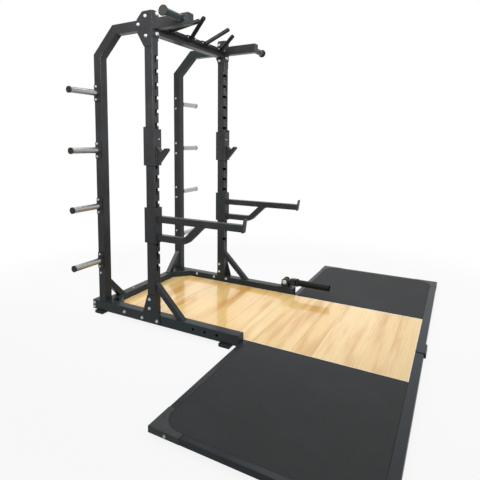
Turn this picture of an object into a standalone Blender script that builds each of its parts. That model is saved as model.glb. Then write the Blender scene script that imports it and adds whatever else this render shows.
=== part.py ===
"""Half squat rack with an inset lifting platform, built as one closed solid per piece.

Metres, +Z up. The lifter stands at -Y, in front of the rack, and left is -X. Pieces are laid
out from the front face of the front uprights (y = 0 there) and the floor (z = 0). At the end
the whole rack is moved along Y, so that its footprint is centred on the origin.
"""

import math

import bmesh
import bpy
from mathutils import Matrix, Vector

for obj in list(bpy.data.objects):
    bpy.data.objects.remove(obj, do_unlink=True)

# Driving sizes, metres
RACK_WIDTH = 1.201          # over the outer faces of the uprights
RACK_HEIGHT = 2.420         # floor to the top of the front uprights
RACK_DEPTH = 0.522          # front face of the front upright to front face of the rear one
UPRIGHT = 0.075             # square tube of uprights, top tubes and arms
RAIL = 0.080                # square tube of the base frame
WALL = 0.003                # wall of every tube
GAP = 0.0003                # clear gap between pieces that touch
PLATE = 0.006               # gusset plates
FLANGE = 0.008              # bolted flanges, brackets and end plates
BOLT_HOLE = 0.013           # diameter
FOOT_HEIGHT = 0.025         # rubber feet under the rails
FOOT_LENGTH = 0.090
FOOT_LIP = 0.020            # how far a foot stands out past its rail
RAIL_FRONT = 0.727          # base rail ahead of the front uprights
RAIL_REAR = 0.075           # base rail behind the rear uprights
PIN_HOLE = 0.020            # diameter of the holes along the base rail
PIN_PITCH = 0.101
PIN_FIRST = 0.176           # first hole behind the rail's front end
PIN_RISE = 0.004            # holes above the middle of the rail
CORNER_RUN = 0.132          # run of the 45 degree pieces in the rear corners
TOP_DROP = 0.056            # top of the bent rear frame below the top of the front upright
BEVEL = 0.206               # run of the 45 degree bend in the rear frame
SLOT_PITCH = 0.100          # hanging slots
SLOT_COUNT = 17
SLOT_TOP_DROP = 0.320       # top of the highest slot below the top of the upright
SLOT_WIDTH = 0.020
SLOT_DROP = 0.052           # whole height of a slot
SLOT_MOUTH = 0.024          # height of its sideways mouth
SLOT_WRAP = 0.017           # how far the mouth runs round the inner side of the upright
HORN_LOW = 0.464            # axis of the lowest plate horn
HORN_PITCH = 0.462
HORN_REACH = 0.302          # from the outer face of the upright to the tip
HORN_DIA = 0.050            # takes plates with a 50 mm bore
HORN_COUNT = 4              # on each side
FRONT_BRACE = 0.045         # square tube
FRONT_BRACE_TOP = 0.360
REAR_BRACE = 0.050
REAR_BRACE_TOP = 0.2955
ARM_REACH = 0.3155
ARM_HEIGHT = 0.078
GRIP_DIA = 0.052
GRIP_DISC = 0.072
GRIP_REACH = 0.2225         # from the outer face of the arm
BAR_HEIGHT = 0.025          # flat strip that carries the chin-up handles
BAR_DEPTH = 0.030
HANDLE_DIA = 0.032
HANDLE_PLATE = 0.132
JCUP_SLOT = 7               # slot of the lower peg, counted from the highest slot
SPOTTER_SLOT = 13
BRACKET_HEIGHT = 0.276
BRACKET_UNDER = 0.124       # slot top down to the foot of the bracket
BRACKET_CLEAR = 0.002       # running clearance beside the upright
BRACKET_FRONT = 0.017       # front of the bracket ahead of the upright
HOOK_WIDTH = 0.036
SEAT_AHEAD = 0.047          # bottom of the hook's vee ahead of its root
SEAT_RISE = 0.092           # and above the foot of the bracket
HOOK_REACH = 0.110          # lower edge of the hook's tip
HOOK_TIP = 0.037            # run of the vee from its bottom to the tip
OUTER_RISE = 0.018          # outer side of the bar hook's bracket above its front
LINER = 0.006
SPOTTER_REACH = 0.745       # end plate ahead of the front uprights
SPOTTER_ARM = 0.050         # square tube
SPOTTER_RISE = 0.162        # underside of the arm above the foot of its bracket
SPOTTER_TIP = 0.042         # end plate above the arm
PROP_RISE = 0.016           # underside of the lower tube above the foot of the bracket
PROP_RUN = 0.235            # level run of the lower tube ahead of the upright
SPOTTER_BEND = 0.110        # outer bend radius of the lower tube
SPOTTER_ANGLE = 44          # rise of the lower tube after its bend, degrees
SLEEVE_DIA = 0.058          # landmine sleeve, outside
SLEEVE_BORE = 0.051
SLEEVE_LENGTH = 0.335       # swivel axis to the mouth
SWIVEL_REACH = 0.070        # pitch axis to swivel axis
LANDMINE_HEIGHT = 0.053     # pitch axis above the rail
LANDMINE_SET = 0.082        # pitch axis behind the rail's front end
PLATFORM_WIDTH = 3.220
PLATFORM_FRONT = 1.8525     # front edge ahead of the front uprights
DECK_TOP = 0.0505           # top of wood and mats
DECK_LOW = 0.0185           # underside of the wood
FRAME_LOW = 0.0155          # underside of the wing frames
PAN = 0.003                 # steel pan under each mat
FRONT_BAR = 0.052           # width of the bar across the front
SIDE_BAR = 0.036
REAR_BAR = 0.040
MAT_CORNER = 0.120          # rounded outer corners of the mats
MAT_FIT = 0.0005            # clear gap round mats and deck
PAD = 0.060                 # square pads under the platform
FRONT_JOINT = -0.095        # where the two front bars meet
LOCK_LENGTH = 0.150         # block over the joint of the front bars
LOCK_PROUD = 0.012
LOCK_CAP = 0.003

# Sizes that follow from them
W = RACK_WIDTH / 2
T = UPRIGHT
IN = W - T                                  # inner face of the uprights
CX = W - T / 2                              # centre of an upright
RAIL_TOP = FOOT_HEIGHT + RAIL
RAIL_IN = W - RAIL                          # inner face of the rails
BACK = RACK_DEPTH + T                       # rear face of the rear uprights
MEMBER_BACK = BACK + 0.003
MEMBER_FRONT = MEMBER_BACK - RAIL
CORNER_X = RAIL_IN - GAP - CORNER_RUN       # where the corner pieces meet the cross-member
WING_BACK = -RAIL_FRONT - GAP
TOP_TUBE_TOP = RACK_HEIGHT - TOP_DROP
TOP_TUBE_LOW = TOP_TUBE_TOP - T
ARM_TOP = TOP_TUBE_TOP - 0.004
ARM_LOW = ARM_TOP - ARM_HEIGHT
BEAM_TOP = ARM_TOP - 0.028
BEAM_LOW = BEAM_TOP - T
BAR_LOW = BEAM_LOW + 0.039
BAR_MID = BAR_LOW + BAR_HEIGHT / 2
BAR_END = IN - 0.026
HORN_Y = RACK_DEPTH + T / 2 + 0.004
XOUT = PLATFORM_WIDTH / 2
DECK_IN = RAIL_IN - MAT_FIT
LANDMINE_AT = (W - RAIL / 2, -RAIL_FRONT + LANDMINE_SET, RAIL_TOP + LANDMINE_HEIGHT)

PAINT = (0.030, 0.032, 0.034, 1)
STEEL = (0.55, 0.56, 0.57, 1)
RUBBER = (0.020, 0.020, 0.021, 1)
WOOD = (0.62, 0.42, 0.22, 1)


def mesh_object(verts, faces):
    mesh = bpy.data.meshes.new("solid")
    mesh.from_pydata([tuple(v) for v in verts], [], [tuple(f) for f in faces])
    bm = bmesh.new()
    bm.from_mesh(mesh)
    bmesh.ops.recalc_face_normals(bm, faces=bm.faces)
    bm.to_mesh(mesh)
    bm.free()
    obj = bpy.data.objects.new("solid", mesh)
    bpy.context.scene.collection.objects.link(obj)
    return obj


def tube_faces(n):
    """Faces of a closed solid whose two end rings have n points each."""
    faces = [tuple(range(n)), tuple(range(2 * n - 1, n - 1, -1))]
    return faces + [(i, n + i, n + (i + 1) % n, (i + 1) % n) for i in range(n)]


def prism(points, axis, lo, hi):
    """Extrude a closed outline: axis 0 takes (y, z), axis 1 takes (x, z), axis 2 takes (x, y)."""
    def put(p, d):
        place = list(p)
        place.insert(axis, d)
        return place

    verts = [put(p, lo) for p in points] + [put(p, hi) for p in points]
    return mesh_object(verts, tube_faces(len(points)))


def box(x0, x1, y0, y1, z0, z1):
    return prism([(x0, y0), (x1, y0), (x1, y1), (x0, y1)], 2, z0, z1)


def rod(start, end, radius, sides=32):
    a, b = Vector(start), Vector(end)
    turn = (b - a).to_track_quat("Z", "Y").to_matrix()
    verts = []
    for centre in (a, b):
        for i in range(sides):
            t = 2 * math.pi * (i + 0.5) / sides
            verts.append(centre + turn @ Vector((radius * math.cos(t), radius * math.sin(t), 0)))
    return mesh_object(verts, tube_faces(sides))


def joined(objects):
    """One object that holds the separate solids of several, for a single cut."""
    first = objects[0]
    bm = bmesh.new()
    for obj in objects:
        bm.from_mesh(obj.data)
    bm.to_mesh(first.data)
    bm.free()
    for obj in objects[1:]:
        bpy.data.objects.remove(obj, do_unlink=True)
    return first


def boolean(target, other, operation):
    mod = target.modifiers.new("boolean", "BOOLEAN")
    mod.operation = operation
    mod.solver = "EXACT"
    mod.object = other
    other.hide_render = True
    other.display_type = "WIRE"
    bpy.context.view_layer.update()
    graph = bpy.context.evaluated_depsgraph_get()
    mesh = bpy.data.meshes.new_from_object(target.evaluated_get(graph))
    target.modifiers.clear()
    target.data = mesh
    bpy.data.objects.remove(other, do_unlink=True)


def union(target, *others):
    for other in others:
        boolean(target, other, "UNION")


def cut(target, *others):
    for other in others:
        boolean(target, other, "DIFFERENCE")


def bent_tube(outer, inner, axis, lo, hi):
    """A bent square tube, open at both ends. outer and inner are the two long outlines of its
    run, point for point, in the plane across axis; the tube is lo to hi wide along axis."""
    def put(p, d):
        place = list(p)
        place.insert(axis, d)
        return place

    verts = []
    for i, (p, q) in enumerate(zip(outer, inner)):
        p, q = Vector(p), Vector(q)
        across = (q - p).normalized()
        j = min(i, len(outer) - 2)
        along = (Vector(outer[j + 1]) - Vector(outer[j])).normalized()
        wall = across * WALL / abs(across.x * along.y - across.y * along.x)
        verts += [put(p, lo), put(p, hi), put(q, hi), put(q, lo)]
        verts += [put(p + wall, lo + WALL), put(p + wall, hi - WALL),
                  put(q - wall, hi - WALL), put(q - wall, lo + WALL)]
    faces = []
    last = 8 * (len(outer) - 1)
    for k in range(4):
        m = (k + 1) % 4
        for a in range(0, last, 8):
            faces.append((a + k, a + m, a + 8 + m, a + 8 + k))
            faces.append((a + 4 + m, a + 4 + k, a + 12 + k, a + 12 + m))
        for a in (0, last):
            faces.append((a + k, a + m, a + 4 + m, a + 4 + k))
    return mesh_object(verts, faces)


PIECES = []


def finish(obj, name, colour, rough=0.5, metal=0.0, origin=(0, 0, 0)):
    obj.name = name
    obj.data.name = name
    mat = bpy.data.materials.new(name + "_material")
    mat.use_nodes = True
    shader = mat.node_tree.nodes["Principled BSDF"]
    shader.inputs["Base Color"].default_value = colour
    shader.inputs["Roughness"].default_value = rough
    shader.inputs["Metallic"].default_value = metal
    mat.diffuse_color = colour
    obj.data.materials.clear()
    obj.data.materials.append(mat)
    bm = bmesh.new()
    bm.from_mesh(obj.data)
    bmesh.ops.remove_doubles(bm, verts=bm.verts, dist=1e-6)
    bmesh.ops.dissolve_limit(bm, angle_limit=0.0005, verts=bm.verts, edges=bm.edges)
    bmesh.ops.recalc_face_normals(bm, faces=bm.faces)
    bmesh.ops.triangulate(bm, faces=bm.faces)
    for face in bm.faces:
        face.material_index = 0
        face.smooth = False
    bm.to_mesh(obj.data)
    bm.free()
    obj.data.transform(Matrix.Translation(-Vector(origin)))
    obj.location = origin
    PIECES.append(obj)


def side_name(s):
    return "right" if s > 0 else "left"


def span(s, a, b):
    """The same stretch of x on side s, low end first."""
    return sorted((s * a, s * b))


def slot_level(k):
    """Top of slot k, counted from the highest."""
    return RACK_HEIGHT - SLOT_TOP_DROP - SLOT_PITCH * k


def bolt_holes(s, places, x):
    """Cutters along X through a side plate, at each (y, z)."""
    r = BOLT_HOLE / 2
    return joined([rod((s * (x - 0.02), y, z), (s * (x + 0.02), y, z), r, 20) for y, z in places])


def base_rail(s):
    rail = box(s * RAIL_IN, s * W, -RAIL_FRONT, BACK + RAIL_REAR, FOOT_HEIGHT, RAIL_TOP)
    cut(rail, box(s * (RAIL_IN + WALL), s * (W - WALL), -RAIL_FRONT + WALL,
                  BACK + RAIL_REAR - WALL, FOOT_HEIGHT + WALL, RAIL_TOP - WALL))
    z = FOOT_HEIGHT + RAIL / 2 + PIN_RISE
    first = -RAIL_FRONT + PIN_FIRST
    for y in (first, first + PIN_PITCH, first + 2 * PIN_PITCH):
        cut(rail, rod((s * (W - 0.015), y, z), (s * (W + 0.015), y, z), PIN_HOLE / 2, 20))
    finish(rail, f"base_rail_{side_name(s)}", PAINT)


def foot(s, y, label):
    half = FOOT_LENGTH / 2
    chamfer = 0.006
    top = FOOT_HEIGHT - GAP
    outline = [(y - half, chamfer), (y - half + chamfer, 0), (y + half - chamfer, 0),
               (y + half, chamfer), (y + half, top), (y - half, top)]
    pad = prism(outline, 0, s * (RAIL_IN + 0.001), s * (W + FOOT_LIP))
    finish(pad, f"foot_{label}_{side_name(s)}", RUBBER, 0.8)


def front_upright(s):
    low = RAIL_TOP + GAP
    tube = box(s * IN, s * W, 0, T, low, RACK_HEIGHT)
    cut(tube, box(s * (IN + WALL), s * (W - WALL), WALL, T - WALL, low - WALL,
                  RACK_HEIGHT - WALL))
    half = SLOT_WIDTH / 2
    past = 0.02
    through = WALL + 0.002
    slots, mouths = [], []
    for k in range(SLOT_COUNT):
        top = slot_level(k)
        mouth = top - SLOT_MOUTH
        ell = [(CX + half, top - SLOT_DROP), (CX + half, top), (IN - past, top),
               (IN - past, mouth), (CX - half, mouth), (CX - half, top - SLOT_DROP)]
        slots.append(prism([(s * x, z) for x, z in ell], 1, -past, through))
        mouths.append(box(s * (IN - past), s * (IN + through), -past, SLOT_WRAP, mouth, top))
    cut(tube, joined(slots), joined(mouths))
    finish(tube, f"front_upright_{side_name(s)}", PAINT)


def rear_frame(s):
    low = RAIL_TOP + GAP
    turn = T * math.tan(math.radians(22.5))
    bend_z = TOP_TUBE_TOP - BEVEL
    bend_y = BACK - BEVEL
    end = T + GAP
    outer = [(BACK, low), (BACK, bend_z), (bend_y, TOP_TUBE_TOP), (end, TOP_TUBE_TOP)]
    inner = [(RACK_DEPTH, low), (RACK_DEPTH, bend_z - turn), (bend_y - turn, TOP_TUBE_LOW),
             (end, TOP_TUBE_LOW)]
    lo, hi = span(s, IN, W)
    finish(bent_tube(outer, inner, 0, lo, hi), f"rear_frame_{side_name(s)}", PAINT)


def rear_cross_member():
    end = RAIL_IN - GAP
    member = box(-end, end, MEMBER_FRONT, MEMBER_BACK, FOOT_HEIGHT, RAIL_TOP)
    wide = RAIL / 2 * math.sqrt(2)
    sink = 0.002
    for s in (-1, 1):
        outline = [(CORNER_X, MEMBER_FRONT + sink), (CORNER_X, MEMBER_FRONT),
                   (end, MEMBER_FRONT - CORNER_RUN), (end, MEMBER_FRONT - CORNER_RUN + wide),
                   (CORNER_X + wide, MEMBER_FRONT), (CORNER_X + wide, MEMBER_FRONT + sink)]
        union(member, prism([(s * x, y) for x, y in outline], 2, FOOT_HEIGHT, RAIL_TOP))
    cut(member, box(-end - 0.01, end + 0.01, MEMBER_FRONT + sink + WALL, MEMBER_BACK - WALL,
                    FOOT_HEIGHT + WALL, RAIL_TOP - WALL))
    finish(member, "rear_cross_member", PAINT)


def front_brace(s):
    """Square tube at 45 degrees from the front of the upright down to the rail."""
    drop = FRONT_BRACE * math.sqrt(2)
    low = RAIL_TOP + GAP
    top = FRONT_BRACE_TOP - GAP
    outer = [(-GAP, top), (low - top - GAP, low)]
    inner = [(-GAP, top - drop), (low - top + drop - GAP, low)]
    lo, hi = span(s, CX - FRONT_BRACE / 2, CX + FRONT_BRACE / 2)
    finish(bent_tube(outer, inner, 0, lo, hi), f"front_brace_{side_name(s)}", PAINT)


def rear_brace(s):
    """Square tube at 45 degrees from the rear upright inwards, down to the cross-member."""
    drop = REAR_BRACE * math.sqrt(2)
    low = RAIL_TOP + GAP
    x = IN - GAP
    outer = [(s * x, REAR_BRACE_TOP), (s * (x - REAR_BRACE_TOP + low), low)]
    inner = [(s * x, REAR_BRACE_TOP - drop), (s * (x - REAR_BRACE_TOP + drop + low), low)]
    front = RACK_DEPTH + (T - REAR_BRACE) / 2
    brace = bent_tube(outer, inner, 1, front, front + REAR_BRACE)
    finish(brace, f"rear_brace_{side_name(s)}", PAINT)


def side_plate(s, outline, bolts, name):
    plate = prism(outline, 0, s * (W + GAP), s * (W + GAP + PLATE))
    cut(plate, bolt_holes(s, bolts, W))
    finish(plate, f"{name}_{side_name(s)}", PAINT)


def top_gusset(s):
    outline = [(0.001, RACK_HEIGHT), (0.001, RACK_HEIGHT - 0.258), (T - 0.002, RACK_HEIGHT - 0.258),
               (T + 0.0585, TOP_TUBE_LOW - 0.024), (T + 0.064, TOP_TUBE_TOP + 0.004),
               (T + 0.012, RACK_HEIGHT)]
    bolts = [(T - 0.0195, RACK_HEIGHT - 0.037), (T + 0.0477, TOP_TUBE_TOP - 0.035),
             (T - 0.0227, RACK_HEIGHT - 0.180)]
    side_plate(s, outline, bolts, "top_gusset")


def base_gusset(s):
    low = FOOT_HEIGHT + 0.005
    outline = [(0.001, RAIL_TOP + 0.151), (-0.043, RAIL_TOP), (-0.053, low), (T + 0.068, low),
               (T - 0.002, RAIL_TOP + 0.151)]
    bolts = [(T - 0.026, RAIL_TOP + 0.119), (T - 0.024, RAIL_TOP + 0.045), (T + 0.051, low + 0.030),
             (-0.021, low + 0.030)]
    side_plate(s, outline, bolts, "base_gusset")


def chin_up_beam():
    end = IN - GAP
    beam = box(-end, end, 0, T, BEAM_LOW, BEAM_TOP)
    cut(beam, box(-end - 0.01, end + 0.01, WALL, T - WALL, BEAM_LOW + WALL, BEAM_TOP - WALL))
    edge = 0.002
    for s in (-1, 1):
        lo, hi = span(s, end - FLANGE, end)
        plate = box(lo, hi, edge, T - edge, BEAM_LOW - 0.050, RACK_HEIGHT - 0.012)
        cut(plate, box(lo - 0.01, hi + 0.01, 2 * edge, T - 2 * edge, BEAM_LOW + 2 * edge,
                       BEAM_TOP - 2 * edge),
            bolt_holes(s, [(T - 0.0195, RACK_HEIGHT - 0.037), (T - 0.0227, BEAM_LOW - 0.027)], end))
        union(beam, plate)
    union(beam, box(-BAR_END, BAR_END, -BAR_DEPTH, 0.001, BAR_LOW, BAR_LOW + BAR_HEIGHT))
    finish(beam, "chin_up_beam", PAINT)


def chin_up_handle(s, base_x, tip, number):
    """A round bar on a small plate; tip is x, the reach ahead of the plate and the rise."""
    front = -BAR_DEPTH - GAP
    half = HANDLE_PLATE / 2
    plate = box(s * (base_x - half), s * (base_x + half), front - PLATE, front,
                BAR_LOW - 0.004, BAR_LOW + BAR_HEIGHT + 0.004)
    start = Vector((s * base_x, front - PLATE / 2, BAR_MID))
    end = Vector((s * tip[0], front - tip[1], BAR_MID + tip[2]))
    run = (end - start).normalized()
    right = run.cross(Vector((0, 0, 1))).normalized()
    over = right.cross(run)
    sides = 28
    tip_ring, base_ring = [], []
    for i in range(sides):
        t = 2 * math.pi * (i + 0.5) / sides
        p = end + (right * math.cos(t) + over * math.sin(t)) * HANDLE_DIA / 2
        tip_ring.append(p)
        base_ring.append(p - run * (p.y - start.y) / run.y)
    union(plate, mesh_object(base_ring + tip_ring, tube_faces(sides)))
    finish(plate, f"chin_up_handle_{number}", PAINT)


def front_arm(s):
    front = -FLANGE - GAP
    arm = box(s * IN, s * W, front, -GAP, RACK_HEIGHT - 0.188, RACK_HEIGHT)
    union(arm, box(s * IN, s * W, -ARM_REACH, front + 0.001, ARM_LOW, ARM_TOP))
    cut(arm, box(s * (IN + WALL), s * (W - WALL), -ARM_REACH + WALL, 0.01, ARM_LOW + WALL,
                 ARM_TOP - WALL))
    x = s * (CX - 0.010)
    for z in (RACK_HEIGHT - 0.017, RACK_HEIGHT - 0.164):
        cut(arm, rod((x, -0.03, z), (x, 0.01, z), BOLT_HOLE / 2, 20))
    finish(arm, f"front_arm_{side_name(s)}", PAINT)


def end_grip(s):
    y, z = -ARM_REACH + 0.0535, ARM_LOW + 0.039
    tip = W + GRIP_REACH
    grip = rod((s * (W + GAP), y, z), (s * (tip - 0.004), y, z), GRIP_DIA / 2, 40)
    union(grip, rod((s * (tip - 0.008), y, z), (s * tip, y, z), GRIP_DISC / 2, 40))
    finish(grip, f"end_grip_{side_name(s)}", RUBBER, 0.8)


def storage_horn(s, number):
    """A chromed tube with a capped tip, on a flange bolted to the side of the rear upright."""
    z = HORN_LOW + HORN_PITCH * (number - 1)
    face = W + GAP
    hub_end = face + 0.026
    mount = box(s * face, s * (face + FLANGE), HORN_Y - 0.029, HORN_Y + 0.029, z - 0.068, z + 0.068)
    union(mount, rod((s * (face + FLANGE - 0.001), HORN_Y, z), (s * hub_end, HORN_Y, z),
                     HORN_DIA / 2 + 0.005, 36))
    cut(mount, bolt_holes(s, [(HORN_Y + 0.008, z - 0.052), (HORN_Y + 0.008, z + 0.052)], face))
    label = f"{side_name(s)}_{number}"
    finish(mount, f"horn_mount_{label}", PAINT)
    start, tip = hub_end + GAP, W + HORN_REACH
    horn = rod((s * start, HORN_Y, z), (s * tip, HORN_Y, z), HORN_DIA / 2, 40)
    cut(horn, rod((s * (start - 0.01), HORN_Y, z), (s * (tip - 0.005), HORN_Y, z),
                  HORN_DIA / 2 - WALL, 32))
    finish(horn, f"storage_horn_{label}", STEEL, 0.25, 1.0)


def hanging_bracket(s, slot, outer_rise=0):
    """The steel U round an upright, with two pegs that drop into its slots."""
    low = slot_level(slot) - BRACKET_UNDER
    high = low + BRACKET_HEIGHT
    top = high + outer_rise
    x0, x1 = IN - BRACKET_CLEAR - FLANGE, W + BRACKET_CLEAR + FLANGE
    bracket = box(s * x0, s * x1, -BRACKET_FRONT, T + 0.012, low, top)
    cut(bracket, box(s * (x0 + FLANGE), s * (x1 - FLANGE), -BRACKET_FRONT + FLANGE, T + 0.03,
                     low - 0.02, top + 0.02))
    if outer_rise:
        cut(bracket, box(s * (x0 - 0.02), s * (x1 - FLANGE), -BRACKET_FRONT - 0.02, T + 0.04,
                         high, top + 0.02))
    half = SLOT_WIDTH / 2 - BRACKET_CLEAR
    for k in (slot, slot - 1):
        base = slot_level(k) - SLOT_DROP + GAP
        union(bracket, box(s * (CX - half), s * (CX + half), -BRACKET_FRONT + 0.004, WALL + 0.007,
                           base, base + SLOT_MOUTH - BRACKET_CLEAR))
    return bracket, low


def j_cup(s):
    cup, low = hanging_bracket(s, JCUP_SLOT, OUTER_RISE)
    web = -BRACKET_FRONT + 0.004
    seat_y, seat_z = web - SEAT_AHEAD, low + SEAT_RISE
    rear = SEAT_AHEAD - 0.005
    hook = [(web, low + 0.006), (web - 0.011, low + 0.006), (web - HOOK_REACH, low + 0.122),
            (web - HOOK_REACH + 0.007, seat_z + HOOK_TIP + 0.002),
            (seat_y - HOOK_TIP, seat_z + HOOK_TIP), (seat_y, seat_z),
            (seat_y + rear, seat_z + rear), (web, seat_z + rear)]
    lo, hi = span(s, CX - HOOK_WIDTH / 2, CX + HOOK_WIDTH / 2)
    union(cup, prism(hook, 0, lo, hi))
    label = side_name(s)
    origin = (s * CX, 0, low)
    finish(cup, f"j_cup_{label}", PAINT, origin=origin)
    lift = GAP * math.sqrt(2)
    thick = LINER * math.sqrt(2)
    back, tip = rear + 0.0004, HOOK_TIP - 0.002
    square = LINER / math.sqrt(2)
    vee = [(seat_y + back, seat_z + back + lift), (seat_y, seat_z + lift),
           (seat_y - tip, seat_z + tip + lift), (seat_y - tip + square, seat_z + tip + square + lift),
           (seat_y, seat_z + lift + thick), (seat_y + back, seat_z + back + lift + thick)]
    liner = prism(vee, 0, lo - 0.004, hi + 0.004)
    finish(liner, f"j_cup_liner_{label}", RUBBER, 0.7, origin=origin)


def spotter_arm(s):
    """A level arm with an upturned end, propped by a lower tube that bends up to meet it."""
    spotter, low = hanging_bracket(s, SPOTTER_SLOT)
    lo, hi = span(s, CX - SPOTTER_ARM / 2, CX + SPOTTER_ARM / 2)
    web = -BRACKET_FRONT + 0.004
    arm_low = low + SPOTTER_RISE
    arm_high = arm_low + SPOTTER_ARM
    end = -SPOTTER_REACH
    arm = box(lo, hi, end + 0.006, web, arm_low, arm_high)
    plate = box(lo, hi, end, end + FLANGE, arm_low - 0.006, arm_high + SPOTTER_TIP)
    under_z = low + PROP_RISE
    over_z = under_z + SPOTTER_ARM
    bend_y = -PROP_RUN
    angle = math.radians(SPOTTER_ANGLE)
    steps = 6
    under, over = [(web, under_z), (bend_y, under_z)], [(web, over_z), (bend_y, over_z)]
    for i in range(1, steps + 1):
        a = angle * i / steps
        inner = SPOTTER_BEND - SPOTTER_ARM
        under.append((bend_y - SPOTTER_BEND * math.sin(a),
                      under_z + SPOTTER_BEND * (1 - math.cos(a))))
        over.append((bend_y - inner * math.sin(a), over_z + inner * (1 - math.cos(a))))
    meet = arm_low + 0.004
    for line in (under, over):
        y, z = line[-1]
        line.append((y - (meet - z) / math.tan(angle), meet))
    union(spotter, arm, plate, prism(under + over[::-1], 0, lo, hi))
    finish(spotter, f"spotter_arm_{side_name(s)}", PAINT, origin=(s * CX, 0, low))


def landmine():
    """Two-axis barbell pivot: a yoke on the rail, a link that pitches and a sleeve that swings."""
    x, y, z = LANDMINE_AT
    top = RAIL_TOP + GAP
    hub = 0.026
    cheek = hub + 0.006
    base = box(x - RAIL / 2, x + RAIL / 2, y - 0.045, y + 0.060, top, top + FLANGE)
    for s in (-1, 1):
        outline = [(y - cheek, top + FLANGE / 2)]
        for i in range(17):
            a = math.pi * (1 - i / 16)
            outline.append((y + cheek * math.cos(a), z + cheek * math.sin(a)))
        outline.append((y + cheek, top + FLANGE / 2))
        union(base, prism(outline, 0, x + s * 0.0265, x + s * 0.0345))
    union(base, rod((x - 0.050, y, z), (x + 0.050, y, z), 0.009, 24))
    for s in (-1, 1):
        union(base, rod((x + s * 0.040, y, z), (x + s * 0.0335, y, z), 0.020))
    finish(base, "landmine_base", PAINT)
    swivel = y - SWIVEL_REACH
    link = rod((x - 0.0255, y, z), (x + 0.0255, y, z), hub, 36)
    union(link, box(x - 0.020, x + 0.020, swivel, y - 0.012, z - 0.016, z + 0.016),
          rod((x, swivel, z - 0.024), (x, swivel, z + 0.024), 0.030),
          rod((x, swivel, z - 0.036), (x, swivel, z + 0.040), 0.008, 20),
          rod((x, swivel, z + 0.0325), (x, swivel, z + 0.040), 0.013, 24))
    cut(link, rod((x - 0.05, y, z), (x + 0.05, y, z), 0.0095, 24))
    finish(link, "landmine_link", PAINT, origin=LANDMINE_AT)
    wide = 0.022
    sleeve = box(x - wide, x + wide, swivel - 0.046, swivel + 0.020, z + 0.0245, z + 0.0320)
    union(sleeve, box(x - wide, x + wide, swivel - 0.046, swivel + 0.020, z - 0.0320, z - 0.0245),
          box(x - wide, x + wide, swivel - 0.050, swivel - 0.036, z - 0.0320, z + 0.0320),
          rod((x, swivel - 0.046, z), (x, swivel - SLEEVE_LENGTH, z), SLEEVE_DIA / 2, 40))
    cut(sleeve, rod((x, swivel - 0.056, z), (x, swivel - SLEEVE_LENGTH - 0.05, z),
                    SLEEVE_BORE / 2, 36),
        rod((x, swivel, z - 0.05), (x, swivel, z + 0.05), 0.0085, 24))
    finish(sleeve, "landmine_sleeve", PAINT, origin=(x, swivel, z))


def wood_deck():
    front = -PLATFORM_FRONT + FRONT_BAR + GAP
    back = MEMBER_FRONT - MAT_FIT
    corner = CORNER_X - 0.002
    side_end = back - (DECK_IN - corner)
    outline = [(-DECK_IN, front), (DECK_IN, front), (DECK_IN, side_end), (corner, back),
               (-corner, back), (-DECK_IN, side_end)]
    deck = prism(outline, 2, DECK_LOW, DECK_TOP)
    battens = 6
    first, last = front + PAD, back - 0.290
    for i in range(battens):
        y = first + (last - first) * i / (battens - 1)
        union(deck, box(-DECK_IN + 0.03, DECK_IN - 0.03, y - PAD / 2, y + PAD / 2, 0,
                        DECK_LOW + 0.002))
    finish(deck, "wood_deck", WOOD, 0.45)


def mat_outline(grow=0.0):
    """Outline of the right-hand mat, rounded at its two outer corners."""
    x0 = DECK_IN + MAT_FIT - grow
    x1 = XOUT - SIDE_BAR - MAT_FIT + grow
    y0 = -PLATFORM_FRONT + FRONT_BAR + MAT_FIT - grow
    y1 = WING_BACK - REAR_BAR - MAT_FIT + grow
    r = MAT_CORNER + grow
    outline = [(x0, y1), (x0, y0)]
    for centre, start in ((y0 + r, -90), (y1 - r, 0)):
        for i in range(13):
            a = math.radians(start + 90 * i / 12)
            outline.append((x1 - r + r * math.cos(a), centre + r * math.sin(a)))
    return outline


def wing(s):
    """A steel frame with a pan, and the rubber mat that lies in it."""
    frame = box(s * (DECK_IN + MAT_FIT), s * XOUT, -PLATFORM_FRONT, WING_BACK, FRAME_LOW, DECK_TOP)
    opening = mat_outline(MAT_FIT)
    for i in (0, 1):
        opening[i] = (opening[i][0] - 0.05, opening[i][1])
    cut(frame, prism([(s * x, y) for x, y in opening], 2, FRAME_LOW + PAN, DECK_TOP + 0.02))
    union(frame, box(FRONT_JOINT + s * GAP, s * (DECK_IN + 0.004), -PLATFORM_FRONT,
                     -PLATFORM_FRONT + FRONT_BAR, FRAME_LOW, DECK_TOP))
    for x in (DECK_IN + 0.10, XOUT - 0.10):
        for y in (WING_BACK - 0.09, -PLATFORM_FRONT + 0.09):
            union(frame, box(s * (x - PAD / 2), s * (x + PAD / 2), y - PAD / 2, y + PAD / 2, 0,
                             FRAME_LOW + 0.001))
    label = side_name(s)
    finish(frame, f"wing_frame_{label}", PAINT)
    outline = [(s * x, y) for x, y in mat_outline()]
    mat = prism(outline, 2, FRAME_LOW + PAN + GAP, DECK_TOP - 0.001)
    finish(mat, f"rubber_mat_{label}", RUBBER, 0.85)


def front_lock_block():
    """The angled block that holds the two front bars together, from in front and above."""
    y = -PLATFORM_FRONT - GAP
    low, high = DECK_TOP + GAP, DECK_TOP + GAP + LOCK_CAP
    outline = [(y, FRAME_LOW + 0.002), (y - LOCK_PROUD, FRAME_LOW + 0.002),
               (y - LOCK_PROUD, high - 0.004), (y - LOCK_PROUD + 0.004, high),
               (y + FRONT_BAR - 0.002, high), (y + FRONT_BAR - 0.002, low), (y, low)]
    block = prism(outline, 0, FRONT_JOINT, FRONT_JOINT + LOCK_LENGTH)
    finish(block, "front_lock_block", PAINT)


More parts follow.
